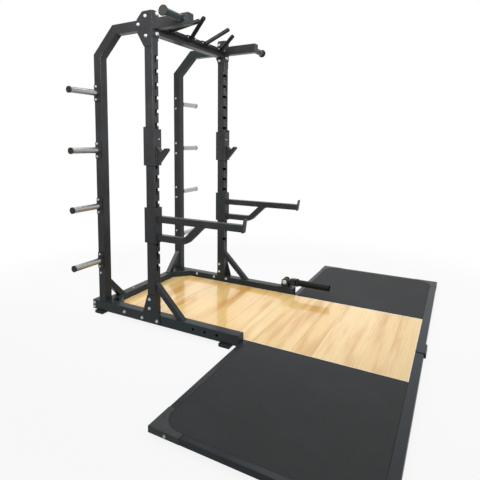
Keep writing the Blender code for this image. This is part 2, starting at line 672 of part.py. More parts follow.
for side in (-1, 1):
    base_rail(side)
    foot(side, -RAIL_FRONT + 0.107, "front")
    foot(side, BACK - 0.011, "rear")
    front_upright(side)
    rear_frame(side)
    front_brace(side)
    rear_brace(side)
    top_gusset(side)
    base_gusset(side)
    front_arm(side)
    end_grip(side)
    for place in range(1, HORN_COUNT + 1):
        storage_horn(side, place)
    j_cup(side)
    spotter_arm(side)
    wing(side)
rear_cross_member()
chin_up_beam()
outer_base, outer_tip = BAR_END - 0.095, (0.279, 0.1874, 0.0785)
inner_base, inner_tip = 0.115, (0.211, 0.1857, 0.1215)
chin_up_handle(-1, outer_base, outer_tip, 1)
chin_up_handle(-1, inner_base, inner_tip, 2)
chin_up_handle(1, inner_base, inner_tip, 3)
chin_up_handle(1, outer_base, outer_tip, 4)
landmine()
wood_deck()
front_lock_block()

front_edge = -PLATFORM_FRONT - GAP - LOCK_PROUD
rear_edge = BACK + RAIL_REAR
for piece in PIECES:
    piece.location.y -= round((front_edge + rear_edge) / 2, 4)
bpy.context.view_layer.update()
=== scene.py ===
"""Looks of the half squat rack and its inset lifting platform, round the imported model.

Lengths are metres. Shapes are worked out for the right-hand side, from the front face of the
front uprights (y = 0 there) and the floor, and are mirrored for the left-hand side.
"""

import math

import bmesh
import bpy
import numpy as np
from bpy.props import FloatProperty, FloatVectorProperty, IntProperty, PointerProperty
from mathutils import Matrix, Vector


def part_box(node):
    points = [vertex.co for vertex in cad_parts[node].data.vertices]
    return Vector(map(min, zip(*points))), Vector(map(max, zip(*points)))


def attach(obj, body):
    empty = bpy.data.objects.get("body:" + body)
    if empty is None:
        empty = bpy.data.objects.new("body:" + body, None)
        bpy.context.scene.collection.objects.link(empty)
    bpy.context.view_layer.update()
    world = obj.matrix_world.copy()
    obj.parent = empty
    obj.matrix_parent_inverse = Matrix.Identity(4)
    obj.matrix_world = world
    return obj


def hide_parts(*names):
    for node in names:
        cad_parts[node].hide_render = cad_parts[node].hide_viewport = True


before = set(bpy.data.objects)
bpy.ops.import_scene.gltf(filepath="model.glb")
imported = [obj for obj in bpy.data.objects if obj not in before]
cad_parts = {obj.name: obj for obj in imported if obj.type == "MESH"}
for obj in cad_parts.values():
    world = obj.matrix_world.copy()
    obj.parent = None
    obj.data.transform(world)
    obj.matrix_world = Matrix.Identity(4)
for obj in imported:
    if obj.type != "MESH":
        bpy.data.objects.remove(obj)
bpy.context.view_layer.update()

bl_info = {
    "name": "Squat rack looks",
    "version": (1, 0, 0),
    "blender": (4, 5, 0),
    "location": "3D View > Sidebar > Squat rack",
    "description": "Builds the finished surfaces of a half squat rack round its packed model",
    "category": "Add Mesh",
}

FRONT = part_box("front_upright_right")[0][1]         # where the row frame has y = 0 of the shapes
ROOT = "rack_and_platform"
GAP = 0.0003                # clear gap between neighbouring pieces
FLANGE = 0.008              # bolted flanges, brackets and end plates
ROUNDED = 0.004             # corner radius of the slimmer tubes and plates
SLOT_DROP = 0.052           # height of a hanging slot
BRACKET_HEIGHT = 0.276      # of the hooks' and safety arms' brackets
BRACKET_FRONT = -0.017      # front face of a bracket
WEB = -0.013                # where hooks and arms are welded into it
DECK_UNDER = 0.0185         # underside of the wood
FRAME_UNDER = 0.0155        # underside of the mat frames
SMALL_BEAD = 0.8            # share of the full weld bead on slimmer seams
SHARP_ANGLE = 32            # degrees, past which an edge is shaded sharp
RIM_ANGLE = 35              # degrees, past which an edge gets a bevel


def limits(node):
    """Lowest and highest corner of a CAD node, with y from the front of the uprights."""
    low, high = (np.array(corner, float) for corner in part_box(node))
    low[1] -= FRONT
    high[1] -= FRONT
    return low, high


# Places read from the frame
UPRIGHT_LOW, UPRIGHT_HIGH = limits("front_upright_right")
RAIL_LOW, RAIL_HIGH = limits("base_rail_right")
REAR_LOW, REAR_HIGH = limits("rear_frame_right")
MEMBER_LOW, MEMBER_HIGH = limits("rear_cross_member")
BEAM_LOW, BEAM_HIGH = limits("chin_up_beam")
WING_LOW, WING_HIGH = limits("wing_frame_right")
MAT_LOW, MAT_HIGH = limits("rubber_mat_right")
DECK_LOW, DECK_HIGH = limits("wood_deck")
IN, OUT = UPRIGHT_LOW[0], UPRIGHT_HIGH[0]
TUBE = OUT - IN
MID = (IN + OUT) / 2
TOP = UPRIGHT_HIGH[2]
RAIL_TOP = RAIL_HIGH[2]
BACK = REAR_HIGH[1]
REAR = BACK - TUBE
TOP_TUBE = REAR_HIGH[2]
BEAM_END = IN - 0.026
BEAM_TOP = TOP_TUBE - 0.032
BEAM_UNDER = BEAM_TOP - TUBE
STRIP = BEAM_UNDER + 0.039
STRIP_HEIGHT = 0.025
INNER_HANDLE, OUTER_HANDLE = 0.115, BEAM_END - 0.095
HORN_Y = REAR + TUBE / 2 + 0.004
MEMBER_CUT = MEMBER_HIGH[0] - (MEMBER_HIGH[1] - (RAIL_TOP - RAIL_LOW[2]) - MEMBER_LOW[1])
HORN_LEVELS = [sum(limits(f"horn_mount_right_{n}")[k][2] for k in (0, 1)) / 2 for n in (1, 2, 3, 4)]


# Shapes

def turned(flat, depth, axis):
    """Points of a plane and their depth, put so that depth runs along the given axis."""
    a, b, c = np.broadcast_arrays(flat[..., 0], flat[..., 1], depth)
    order = {0: (c, a, b), 1: (a, c, b), 2: (a, b, c)}[axis]
    return np.stack(order, -1)


def eased(points, radius, steps=4):
    """Outline whose corners are arcs: each arc leaves its two sides where they are radius over
    the tangent of half the corner away from it, and sweeps round the centre between them."""
    p = np.asarray(points, float)
    back, ahead = np.roll(p, 1, 0) - p, np.roll(p, -1, 0) - p
    long_back, long_ahead = np.linalg.norm(back, axis=1), np.linalg.norm(ahead, axis=1)
    back /= np.maximum(long_back, 1e-12)[:, None]
    ahead /= np.maximum(long_ahead, 1e-12)[:, None]
    half = np.arccos(np.clip((back * ahead).sum(1), -1, 1)) / 2
    reach = np.minimum(radius / np.tan(half), 0.49 * np.minimum(long_back, long_ahead))
    r = reach * np.tan(half)
    middle = back + ahead
    middle /= np.maximum(np.linalg.norm(middle, axis=1), 1e-9)[:, None]
    centre = p + middle * (r / np.sin(half))[:, None]
    first = p + back * reach[:, None] - centre
    last = p + ahead * reach[:, None] - centre
    sweep = np.maximum(np.pi - 2 * half, 1e-6)[:, None]
    t = np.linspace(0, 1, steps + 1)[None]
    a = np.sin((1 - t) * sweep) / np.sin(sweep)
    b = np.sin(t * sweep) / np.sin(sweep)
    arc = centre[:, None] + a[..., None] * first[:, None] + b[..., None] * last[:, None]
    return arc.reshape(-1, 2)


def rectangle(a0, a1, b0, b1):
    """The four corners of a rectangle between two limits each way."""
    return np.array([(a0, b0), (a1, b0), (a1, b1), (a0, b1)], float)


def mitres(outline):
    """For each corner, the move that draws both of its sides in by one."""
    side = np.roll(outline, -1, 0) - outline
    keep = np.linalg.norm(side, axis=1) > 1e-9
    outline, side = outline[keep], side[keep]
    side = np.roll(outline, -1, 0) - outline
    side /= np.linalg.norm(side, axis=1)[:, None]
    inward = np.stack([-side[:, 1], side[:, 0]], -1)
    before = np.roll(inward, 1, 0)
    return outline, (inward + before) / (1 + (inward * before).sum(1))[:, None]


def anticlockwise(outline):
    """The outline, turned round where the area it sweeps, half the sum of x y' - x' y, is negative."""
    x, y = outline.T
    area = (x * np.roll(y, -1) - np.roll(x, -1) * y).sum()
    return outline if area > 0 else outline[::-1]


def skin(points, closed=False, caps=True):
    """Quads between neighbouring rings of a grid of points, with flat caps on its two ends."""
    n, m = points.shape[:2]
    i = np.arange(n if closed else n - 1)[:, None]
    j = np.arange(m)[None]
    i2, j2 = (i + 1) % n, (j + 1) % m
    quads = np.stack([i * m + j, i * m + j2, i2 * m + j2, i2 * m + j], -1).reshape(-1, 4)
    faces = quads.tolist()
    if caps and not closed:
        faces += [list(range(m)), list(range((n - 1) * m, n * m))]
    return points.reshape(-1, 3), faces


def slab(outline, axis, low, high, edge=0.001, steps=2):
    """A plate or bar: an outline carried from low to high. Near each end it is drawn in by
    edge (1 - sin t) where it has risen edge (1 - cos t), so that its rim is rounded."""
    low, high = min(low, high), max(low, high)
    outline, draw = mitres(anticlockwise(np.asarray(outline, float)))
    t = np.linspace(0, np.pi / 2, steps + 1)
    inset, rise = edge * (1 - np.sin(t)), edge * (1 - np.cos(t))
    depth = np.concatenate([low + rise, (high - rise)[::-1]])
    inset = np.concatenate([inset, inset[::-1]])
    flat = outline[None] + draw[None] * inset[:, None, None]
    return skin(turned(flat, depth[:, None], axis))


def block(x, y, z, axis, corner=0.002, edge=0.001, steps=3):
    """A bar between pairs of limits: a rectangle whose corners are arcs, carried straight along
    the axis, with rounded rims at its two ends."""
    spans = [x, y, z]
    along = spans.pop(axis)
    outline = eased(rectangle(*spans[0], *spans[1]), corner, steps)
    return slab(outline, axis, *along, edge)


def run(outer, inner, axis, low, high, corner, thick):
    """A square tube along a bent run: at each station its rounded section is stretched between
    the points of the two long outlines, which mitres the bends."""
    outer, inner = np.asarray(outer, float), np.asarray(inner, float)
    section = eased(rectangle(0, thick, low, high), corner, 4)
    across = section[None, :, 0, None] / thick
    flat = outer[:, None] + (inner - outer)[:, None] * across
    return skin(turned(flat, section[None, :, 1], axis))


def strip(inner, outer, low, high, edge=0.001):
    """A flat bar between two lines. At each station the section's points are inner plus part
    times (outer less inner), at their own depths; its four edges are cut off by a narrow slope."""
    inner, outer = np.asarray(inner, float), np.asarray(outer, float)
    width = np.linalg.norm(outer - inner, axis=1)[:, None]
    ease = edge / width
    parts = [ease, 0 * ease, 0 * ease, ease, 1 - ease, 1 + 0 * ease, 1 + 0 * ease, 1 - ease]
    depths = [low, low + edge, high - edge, high, high, high - edge, low + edge, low]
    flat = np.stack([inner + (outer - inner) * s for s in parts], 1)
    return skin(turned(flat, np.array(depths)[None], 2))


def bend(line, centre, radius, start, sweep, steps):
    """Arc points appended to a line, at start to start + sweep degrees round a centre."""
    a = np.radians(np.linspace(start, start + sweep, steps + 1))[1:]
    arc = np.stack([centre[0] + radius * np.cos(a), centre[1] + radius * np.sin(a)], -1)
    return np.concatenate([np.asarray(line, float), arc])


def lathe(profile, start, direction, steps=48, ring=False):
    """A turned shape: each profile point is a radius and a height along the direction from
    start, carried once round it. A ring is closed along its profile too."""
    r, h = np.asarray(profile, float).T
    d = np.asarray(direction, float) / np.linalg.norm(direction)
    u = np.cross(d, (0, 0, 1) if abs(d[2]) < 0.9 else (1, 0, 0))
    u /= np.linalg.norm(u)
    v = np.cross(d, u)
    t = np.linspace(0, 2 * np.pi, steps, endpoint=False)
    spoke = np.cos(t)[:, None] * u + np.sin(t)[:, None] * v
    points = np.asarray(start) + h[:, None, None] * d + r[:, None, None] * spoke[None]
    return skin(points, closed=ring, caps=False)


def turning(points, radius, steps=3):
    """A lathe profile with its corners rounded, apart from the first and the last."""
    radii = np.full(len(points), radius)
    radii[[0, -1]] = 0
    return eased(points, radii, steps)


def disc_profile(radius, height, edge, base=0.0):
    """The half section of a disc: out along its foot, up its side and back to the middle."""
    return turning([(0, base), (radius, base), (radius, base + height), (0, base + height)], edge)


def hexagon(centre, direction, across, height):
    """A hexagon head: its radius is half the width across flats over the cosine of the angle
    from the nearest flat, and a cone takes its top corners off."""
    d = np.asarray(direction, float)
    u = np.cross(d, (0, 0, 1) if abs(d[2]) < 0.9 else (1, 0, 0))
    v = np.cross(d, u)
    t = np.linspace(0, 2 * np.pi, 36, endpoint=False)
    flat = (t + np.pi / 6) % (np.pi / 3) - np.pi / 6
    hexed = across / 2 / np.cos(flat)
    cone = across / 2 * 0.95
    full = np.ones_like(t)
    levels = [
        (0 * full, 0 * full),
        (hexed, 0 * full),
        (hexed, height - (hexed - cone) * math.tan(math.radians(28))),
        (cone * full, height * full),
        (cone * 0.8 * full, height * full),
        (cone * 0.5 * full, height * 1.03 * full),
        (0 * full, height * 1.05 * full),
    ]
    r, h = (np.stack(rows) for rows in zip(*levels))
    spoke = np.cos(t)[:, None] * u + np.sin(t)[:, None] * v
    points = np.asarray(centre) + h[..., None] * d + r[..., None] * spoke[None]
    return skin(points, caps=False)


def bolt(centre, direction, size, scale=1.0):
    """Hexagon head on a round washer, its back on the surface at centre."""
    centre, d = np.asarray(centre, float), np.asarray(direction, float)
    washer = size.washer_thickness * scale
    plate = lathe(disc_profile(size.washer_diameter * scale / 2, washer, washer * 0.3), centre, d, 28)
    return [plate, hexagon(centre + d * washer, d, size.across_flats * scale, size.head_height * scale)]


def resample(outline, pitch, closed=True):
    """Points at equal steps along an outline, by its running length."""
    line = np.concatenate([outline, outline[:1]]) if closed else np.asarray(outline, float)
    length = np.concatenate([[0], np.cumsum(np.linalg.norm(np.diff(line, axis=0), axis=1))])
    count = max(int(length[-1] / pitch), 4)
    s = np.linspace(0, length[-1], count + (0 if closed else 1), endpoint=not closed)
    return np.stack([np.interp(s, length, line[:, k]) for k in (0, 1)], -1), s


def weld(outline, axis, depth, size, closed=True):
    """A weld bead: a circle carried along an outline in a plane. Its radius is size times
    0.8 + 0.2 |sin|, one swell for each puddle."""
    path, s = resample(np.asarray(outline, float), size / 4, closed)
    ahead = np.roll(path, -1, 0) - np.roll(path, 1, 0)
    if not closed:
        ahead[0], ahead[-1] = path[1] - path[0], path[-1] - path[-2]
    ahead /= np.linalg.norm(ahead, axis=1)[:, None]
    out = np.stack([ahead[:, 1], -ahead[:, 0]], -1)
    swell = size * (0.8 + 0.2 * np.abs(np.sin(np.pi * s / (size * 1.1))))
    if not closed:
        swell[[0, -1]] *= 0.3
    t = np.linspace(0, 2 * np.pi, 10, endpoint=False)
    flat = path[:, None] + out[:, None] * (np.cos(t)[None] * swell[:, None])[..., None]
    return skin(turned(flat, depth + np.sin(t)[None] * swell[:, None], axis), closed)


# Pieces

def new_mesh(name, parts, side=1):
    """One mesh of several shapes, mirrored for the left side and moved into the row frame."""
    vertices, faces, count = [], [], 0
    for points, quads in parts:
        vertices.append(points)
        faces += [[k + count for k in face] for face in quads]
        count += len(points)
    vertices = np.concatenate(vertices) * (side, 1, 1) + (0, FRONT, 0)
    mesh = bpy.data.meshes.new(name)
    mesh.from_pydata(vertices, [], faces)
    bm = bmesh.new()
    bm.from_mesh(mesh)
    bmesh.ops.remove_doubles(bm, verts=bm.verts, dist=2e-6)
    bmesh.ops.dissolve_degenerate(bm, edges=bm.edges, dist=1e-6)
    bmesh.ops.recalc_face_normals(bm, faces=bm.faces)
    bm.to_mesh(mesh)
    bm.free()
    return mesh


def solid(name, parts, side=1):
    """An object of several shapes, in the scene."""
    obj = bpy.data.objects.new(name, new_mesh(name, parts, side))
    bpy.context.scene.collection.objects.link(obj)
    return obj


def cut(obj, *cutters):
    """Takes each cutter's shapes out of a piece, and removes the cutters."""
    for cutter in cutters:
        modifier = obj.modifiers.new("cut", "BOOLEAN")
        modifier.operation = "DIFFERENCE"
        modifier.solver = "EXACT"
        modifier.object = cutter
        bpy.context.view_layer.update()
        graph = bpy.context.evaluated_depsgraph_get()
        mesh = bpy.data.meshes.new_from_object(obj.evaluated_get(graph))
        obj.modifiers.clear()
        obj.data = mesh
        bpy.data.objects.remove(cutter, do_unlink=True)
    return obj


def dressed(obj, material, body=ROOT, nodes=(), bevel=0.0):
    """Gives a piece its finish, its shading, its body and the nodes that it stands for."""
    obj.data.materials.clear()
    obj.data.materials.append(material)
    obj.data.polygons.foreach_set("material_index", np.zeros(len(obj.data.polygons), np.int32))
    obj.data.polygons.foreach_set("use_smooth", np.ones(len(obj.data.polygons), bool))
    obj.data.set_sharp_from_angle(angle=math.radians(SHARP_ANGLE))
    if bevel:
        modifier = obj.modifiers.new("rim", "BEVEL")
        modifier.width = bevel
        modifier.segments = 2
        modifier.limit_method = "ANGLE"
        modifier.angle_limit = math.radians(RIM_ANGLE)
        modifier.harden_normals = False
    modifier = obj.modifiers.new("even shading", "WEIGHTED_NORMAL")
    modifier.keep_sharp = True
    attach(obj, body)
    if nodes:
        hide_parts(*nodes)
    return obj


def coated(name, parts, side=1, nodes=(), body=ROOT):
    """A powder-coated piece of several shapes."""
    return dressed(solid(name, parts, side), finish_named("coat"), body, nodes)


def side_name(side):
    """The word for 1, the right-hand side, or -1, the left."""
    return "right" if side > 0 else "left"


# Settings

def length(name, description, default):
    """A length in metres."""
    return FloatProperty(name=name, description=description, default=default, min=0.0,
                         unit="LENGTH", subtype="DISTANCE", precision=4)


def share(name, description, default):
    """A number from 0 to 1."""
    return FloatProperty(name=name, description=description, default=default, min=0.0, max=1.0,
                         subtype="FACTOR")


def power(name, description, default):
    """The power of a lamp in watts."""
    return FloatProperty(name=name, description=description, default=default, min=0.0,
                         unit="POWER", subtype="POWER")


def colour(name, description, red, green, blue):
    """A colour given by its three 0 to 255 values as a paint chart has them."""
    value = [((c / 255 + 0.055) / 1.055) ** 2.4 if c > 10 else c / 255 / 12.92
             for c in (red, green, blue)]
    return FloatVectorProperty(name=name, description=description, default=value, min=0.0,
                               max=1.0, size=3, subtype="COLOR")


class RackSteel(bpy.types.PropertyGroup):
    tube_corner: length("Tube corner", "Outer corner radius of the square tubes", 0.0055)
    wall: length("Tube wall", "Wall of the tubes that are cut through", 0.003)
    rim: length("Plate rim", "Rounding round the rim of plates", 0.0012)
    bead: length("Weld bead", "Radius of a weld bead", 0.0042)
    slot_count: IntProperty(name="Slots", description="Hanging slots in each front upright",
                            default=17, min=2)
    slot_pitch: length("Slot pitch", "Distance from slot to slot", 0.100)
    slot_top: length("First slot", "Top of the highest slot below the upright's top", 0.320)
    coat: colour("Powder coat", "Colour of the painted steel", 36, 36, 38)
    coat_light: colour("Powder coat, thin", "Colour where the coat is thin", 54, 54, 55)
    # The cool colour is both a random drift of tint and a painted reflection, the teal cast mixed in low
    # down on the steel.
    coat_cool_and_low_cast: colour("Powder coat, cool", "Colour that the coat drifts to in places", 27, 47, 49)
    coat_gloss: share("Coat roughness", "Roughness of the powder coat", 0.42)
    grip_bar: colour("Grip bars", "Colour of the chin-up grip bars", 15, 15, 15)
    mat_frame: colour("Mat frames", "Colour of the coated mat frames", 33, 39, 44)


class RackFasteners(bpy.types.PropertyGroup):
    across_flats: length("Across flats", "Width of a bolt head across its flats", 0.0185)
    head_height: length("Head height", "Height of a bolt head", 0.0076)
    washer_diameter: length("Washer", "Diameter of a washer", 0.0245)
    washer_thickness: length("Washer thickness", "Thickness of a washer", 0.0024)
    zinc: colour("Zinc plate", "Colour of bolts and washers", 188, 190, 193)


class RackFittings(bpy.types.PropertyGroup):
    chrome: colour("Chrome", "Colour of the horn tubes", 168, 168, 168)
    horn_cap: length("Horn cap", "Length of the black cap on a horn", 0.013)
    liner: colour("Liner", "Colour of the plastic hook liners", 40, 42, 32)
    grip: colour("Grip", "Colour of the rubber end grips", 15, 27, 29)
    grip_face: colour("Grip face", "Colour of the discs on the end grips", 39, 38, 35)
    foot: colour("Foot rubber", "Colour of the rubber feet", 26, 27, 28)


class RackPlatform(bpy.types.PropertyGroup):
    board_width: length("Board width", "Width of a deck board", 0.142)
    board_thickness: length("Board thickness", "Thickness of the boards over their core", 0.014)
    board_seam: length("Seam", "Gap between two boards", 0.0003)
    # The pale strip round the boards is a painted highlight: it stands in for the light that the deck's
    # rim catches.
    highlight_band_width: length("Edge band", "Width of the pale band round the boards", 0.004)
    band: colour("Band", "Colour of the band round the boards", 246, 240, 226)
    oak: colour("Oak", "Main colour of the boards", 223, 181, 102)
    oak_dark: colour("Oak streaks", "Colour of the darker streaks", 196, 137, 43)
    oak_pale: colour("Oak pale", "Colour of the palest boards", 236, 207, 147)
    mat: colour("Mat rubber", "Colour of the mats", 40, 41, 42)
    mat_fleck: colour("Mat granules", "Colour of the lighter granules", 60, 62, 63)
    corner_piece: colour("Corner pieces", "Colour of the moulded mat corners", 50, 53, 55)
    mat_corner: length("Mat corner", "Radius of the rounded mat corners", 0.120)


class RackStage(bpy.types.PropertyGroup):
    floor: share("Floor", "How pale the floor is", 0.62)
    surround: FloatProperty(name="Surround", description="Strength of the light from all round",
                            default=0.32, min=0.0)
    overhead: power("Overhead lamp", "Power of the overhead lamp", 150.0)
    side: power("Side lamp", "Power of the high lamp at the near side", 52.0)
    front: power("Front lamp", "Power of the lamp ahead of the platform", 46.0)
    back: power("Back lamp", "Power of the lamp behind, for the varnish", 10.0)
    far: power("Far lamp", "Power of the high lamp beyond the far side", 6.5)
    rear: power("Rear lamp", "Power of the high lamp over the rear braces", 3.0)
    focal_length: FloatProperty(name="Focal length", description="Of the camera",
                                default=32.21, min=1.0, unit="CAMERA",
                                subtype="DISTANCE_CAMERA")


GROUPS = {
    "rack_steel": RackSteel,
    "rack_fasteners": RackFasteners,
    "rack_fittings": RackFittings,
    "rack_platform": RackPlatform,
    "rack_stage": RackStage,
}


# Finishes

class Wire:
    """A node's socket. Arithmetic on it adds Math nodes."""

    def __init__(self, recipe, socket):
        self.recipe, self.socket = recipe, socket

    def math(self, operation, other):
        """A Math node with this socket and another value or socket."""
        return self.recipe.node("ShaderNodeMath", {"operation": operation}, {0: self, 1: other})

    def __add__(self, other):
        return self.math("ADD", other)

    __radd__ = __add__

    def __sub__(self, other):
        return self.math("SUBTRACT", other)

    def __rsub__(self, other):
        return self.recipe.node("ShaderNodeMath", {"operation": "SUBTRACT"}, {0: other, 1: self})

    def __mul__(self, other):
        return self.math("MULTIPLY", other)

    __rmul__ = __mul__

    def ramp(self, low, high):
        """0 below low, 1 above high, and a smooth step between them."""
        return self.recipe.node("ShaderNodeMapRange", {"interpolation_type": "SMOOTHSTEP"},
                                {"Value": self, "From Min": low, "From Max": high})


class Recipe:
    """A material and its Principled shader, or the nodes of a world."""

    def __init__(self, name="", world=None):
        self.material = world or bpy.data.materials.new(name)
        self.material.use_nodes = True
        self.tree = self.material.node_tree
        self.shader = self.tree.nodes.get("Principled BSDF")

    def node(self, kind, settings=None, sockets=None, output=0):
        """Adds a node: its settings first, then the values or links of its sockets."""
        node = self.tree.nodes.new(kind)
        for key, value in (settings or {}).items():
            setattr(node, key, value)
        for key, value in (sockets or {}).items():
            self.feed(node.inputs[key], value)
        return Wire(self, node.outputs[output])

    def feed(self, socket, value):
        """Links a socket, or sets it."""
        if isinstance(value, Wire):
            self.tree.links.new(value.socket, socket)
        elif socket.type == "RGBA":
            socket.default_value = (*tuple(value)[:3], 1)
        else:
            socket.default_value = value

    def place(self, scale=(1, 1, 1)):
        """Object coordinates, scaled."""
        at = self.node("ShaderNodeTexCoord", output="Object")
        return self.stretch(at, scale)

    def stretch(self, place, scale):
        """Coordinates multiplied by a scale along each axis."""
        return self.node("ShaderNodeMapping", {}, {"Vector": place, "Scale": scale})

    def noise(self, place, scale, detail=3.0, roughness=0.5, distortion=0.0):
        """Smooth noise about 0.5."""
        return self.node("ShaderNodeTexNoise", {"noise_dimensions": "3D"},
                         {"Vector": place, "Scale": scale, "Detail": detail,
                          "Roughness": roughness, "Distortion": distortion}, "Fac")

    def cells(self, place, scale, output="Distance"):
        """Scattered cells: the distance to the nearest middle, or the cell's own colour."""
        return self.node("ShaderNodeTexVoronoi", {"feature": "F1"},
                         {"Vector": place, "Scale": scale}, output)

    def mix(self, factor, a, b):
        """Colours a and b, mixed by a factor."""
        return self.node("ShaderNodeMix", {"data_type": "RGBA"}, {0: factor, 6: a, 7: b}, 2)

    def split(self, place, axis):
        """One coordinate of a place."""
        return self.node("ShaderNodeSeparateXYZ", {}, {0: place}, axis)

    def attribute(self, name):
        """A number that the mesh holds at its vertices."""
        return self.node("ShaderNodeAttribute", {"attribute_name": name}, {}, "Fac")

    def bump(self, height, strength, distance):
        """The surface's direction, tilted by the slope of a height."""
        return self.node("ShaderNodeBump", {},
                         {"Height": height, "Strength": strength, "Distance": distance})

    def finish(self, **sockets):
        """Feeds the shader's sockets, named with underscores for spaces."""
        for key, value in sockets.items():
            self.feed(self.shader.inputs[key.replace("_", " ").title()
                                         .replace("Ior", "IOR")], value)
        return self.material


def powder_coat(name, dark, light, cool_and_low_cast, gloss, varnish=0.14):
    """Fine orange peel and a slow drift of tone and tint, with dust that settles in soft patches,
    and a cooler tint low down, a painted reflection of the teal light cast on the lower steel."""
    r = Recipe(name)
    place = r.place()
    peel = r.noise(place, 900, 2)
    drift = r.noise(place, 5, 4, 0.6)
    dust = r.noise(place, 38, 5, 0.65)
    tint = r.noise(place, 1.7, 3, 0.55)
    tone = drift.ramp(0.35, 0.72) * 0.45 + dust.ramp(0.45, 0.8) * 0.3
    grain = peel.ramp(0.42, 0.66) * 0.22
    base = r.mix(tone + grain, dark, light)
    # Painted reflection: the coat turns cooler towards the floor, standing in for the teal cast of
    # reflected light on the lower steel.
    low = 1.0 - r.split(place, 2).ramp(0.08, 0.42)
    base = r.mix(tint.ramp(0.50, 0.72) * 0.45 + low * 0.3, base, cool_and_low_cast)
    rough = gloss + (dust - 0.5) * 0.16 + (peel - 0.5) * 0.08
    normal = r.bump(peel, 0.16, 0.0006)
    return r.finish(base_color=base, roughness=rough, normal=normal, specular_ior_level=0.12,
                    coat_weight=varnish, coat_roughness=0.14)


def chrome_plate():
    """Bright plate with fine lengthwise draw lines and faint haze."""
    r = Recipe("chrome plate")
    lines = r.noise(r.place((2.5, 260, 260)), 1.0, 2)
    haze = r.noise(r.place(), 9, 2)
    dull = (0.20, 0.20, 0.195)
    base = r.mix(haze.ramp(0.35, 0.75) * 0.15, bpy.context.scene.rack_fittings.chrome, dull)
    rough = haze * 0.04 + lines * 0.02 + 0.17
    return r.finish(base_color=base, roughness=rough, metallic=1.0)


def zinc_plate():
    """Bright zinc with a cloudy passivated skin."""
    r = Recipe("zinc plate")
    cloud = r.noise(r.place(), 160, 4, 0.6)
    clouded = (0.46, 0.47, 0.47)
    base = r.mix(cloud.ramp(0.35, 0.7) * 0.5, bpy.context.scene.rack_fasteners.zinc, clouded)
    return r.finish(base_color=base, roughness=cloud * 0.18 + 0.28, metallic=0.32,
                    normal=r.bump(cloud, 0.1, 0.0005))


def rubber(name, tone, fleck, grain=520, gloss=0.82, depth=0.0010):
    """Pressed rubber crumb: rounded granules that stand in the surface, some of them lighter."""
    r = Recipe(name)
    place = r.place()
    crumb = r.cells(place, grain)
    pick = r.cells(place, grain, "Color")
    pale = r.node("ShaderNodeSeparateColor", {}, {0: pick}, 0)
    worn = r.noise(place, 3.2, 5, 0.62)
    soft = r.noise(place, 60, 3)
    factor = pale.ramp(0.72, 0.98) * 0.55 + worn.ramp(0.42, 0.78) * 0.38 + (soft - 0.5) * 0.2
    base = r.mix(factor, tone, fleck)
    height = (1.0 - crumb.ramp(0.0, 0.75)) * 0.8 + soft * 0.4
    rough = gloss + (worn - 0.5) * 0.12
    return r.finish(base_color=base, roughness=rough, normal=r.bump(height, 0.35, depth),
                    specular_ior_level=0.28)


def oak_boards():
    """Varnished boards: each has its own tone and its own grain, drawn out along the board,
    with slow flame figure, fine pores and narrow dark streaks."""
    look = bpy.context.scene.rack_platform
    r = Recipe("oak boards")
    tone = r.attribute("board_tone")
    shift = r.attribute("board_shift")
    at = r.node("ShaderNodeTexCoord", output="Object")
    apart = r.node("ShaderNodeCombineXYZ", {}, {"X": shift * 7.3, "Y": shift * 3.1, "Z": shift * 5.7})
    own = r.node("ShaderNodeVectorMath", {"operation": "ADD"}, {0: at, 1: apart})
    long = r.stretch(own, (0.6, 8.5, 1))
    flame = r.noise(long, 1.6, 5, 0.55, 0.7)
    fibre = r.noise(r.stretch(own, (2.2, 85, 1)), 1.4, 4, 0.6, 0.25)
    pore = r.noise(r.stretch(own, (12, 420, 1)), 1.0, 2, 0.5)
    rings = r.node("ShaderNodeTexWave", {"wave_type": "BANDS", "bands_direction": "Y",
                                         "wave_profile": "SIN"},
                   {"Vector": long, "Scale": 2.6, "Distortion": 9.0, "Detail": 3.0,
                    "Detail Scale": 0.7}, "Fac")
    broad = r.noise(r.stretch(own, (0.42, 4.4, 1)), 2.1, 4, 0.55, 0.25)
    streak = flame.ramp(0.50, 0.76) * 0.55 + rings * 0.20 + broad.ramp(0.48, 0.68) * 0.75
    streak = streak * 0.8 + fibre.ramp(0.42, 0.72) * 0.22 - 0.04
    warm = r.mix(tone * 0.5 + 0.2, look.oak_pale, look.oak)
    base = r.mix(streak, warm, look.oak_dark)
    dark = (look.oak_dark[0] * 0.62, look.oak_dark[1] * 0.55, look.oak_dark[2] * 0.48)
    base = r.mix(pore.ramp(0.62, 0.78) * 0.16, base, dark)
    smear = r.noise(r.place(), 7, 3)
    rough = 0.30 + fibre * 0.10 + (smear - 0.5) * 0.14
    height = fibre * 0.35 + (1.0 - pore.ramp(0.60, 0.8)) * 0.5
    return r.finish(base_color=base, roughness=rough, normal=r.bump(height, 0.06, 0.0012),
                    coat_weight=0.6, coat_roughness=0.08)


def board_core():
    """Birch plywood: veneers stacked up the board, each with its own brown."""
    look = bpy.context.scene.rack_platform
    r = Recipe("board core")
    place = r.place()
    layer = r.noise(r.place((2, 2, 620)), 1.0, 1.0)
    fibre = r.noise(r.place((14, 60, 500)), 1.0, 4)
    base = r.mix(layer.ramp(0.4, 0.62), look.oak_dark, look.oak)
    dark = (0.12, 0.07, 0.035)
    base = r.mix(fibre * 0.35, base, dark)
    return r.finish(base_color=base, roughness=0.62 + (fibre - 0.5) * 0.2,
                    normal=r.bump(fibre + r.noise(place, 300, 2), 0.15, 0.0006))


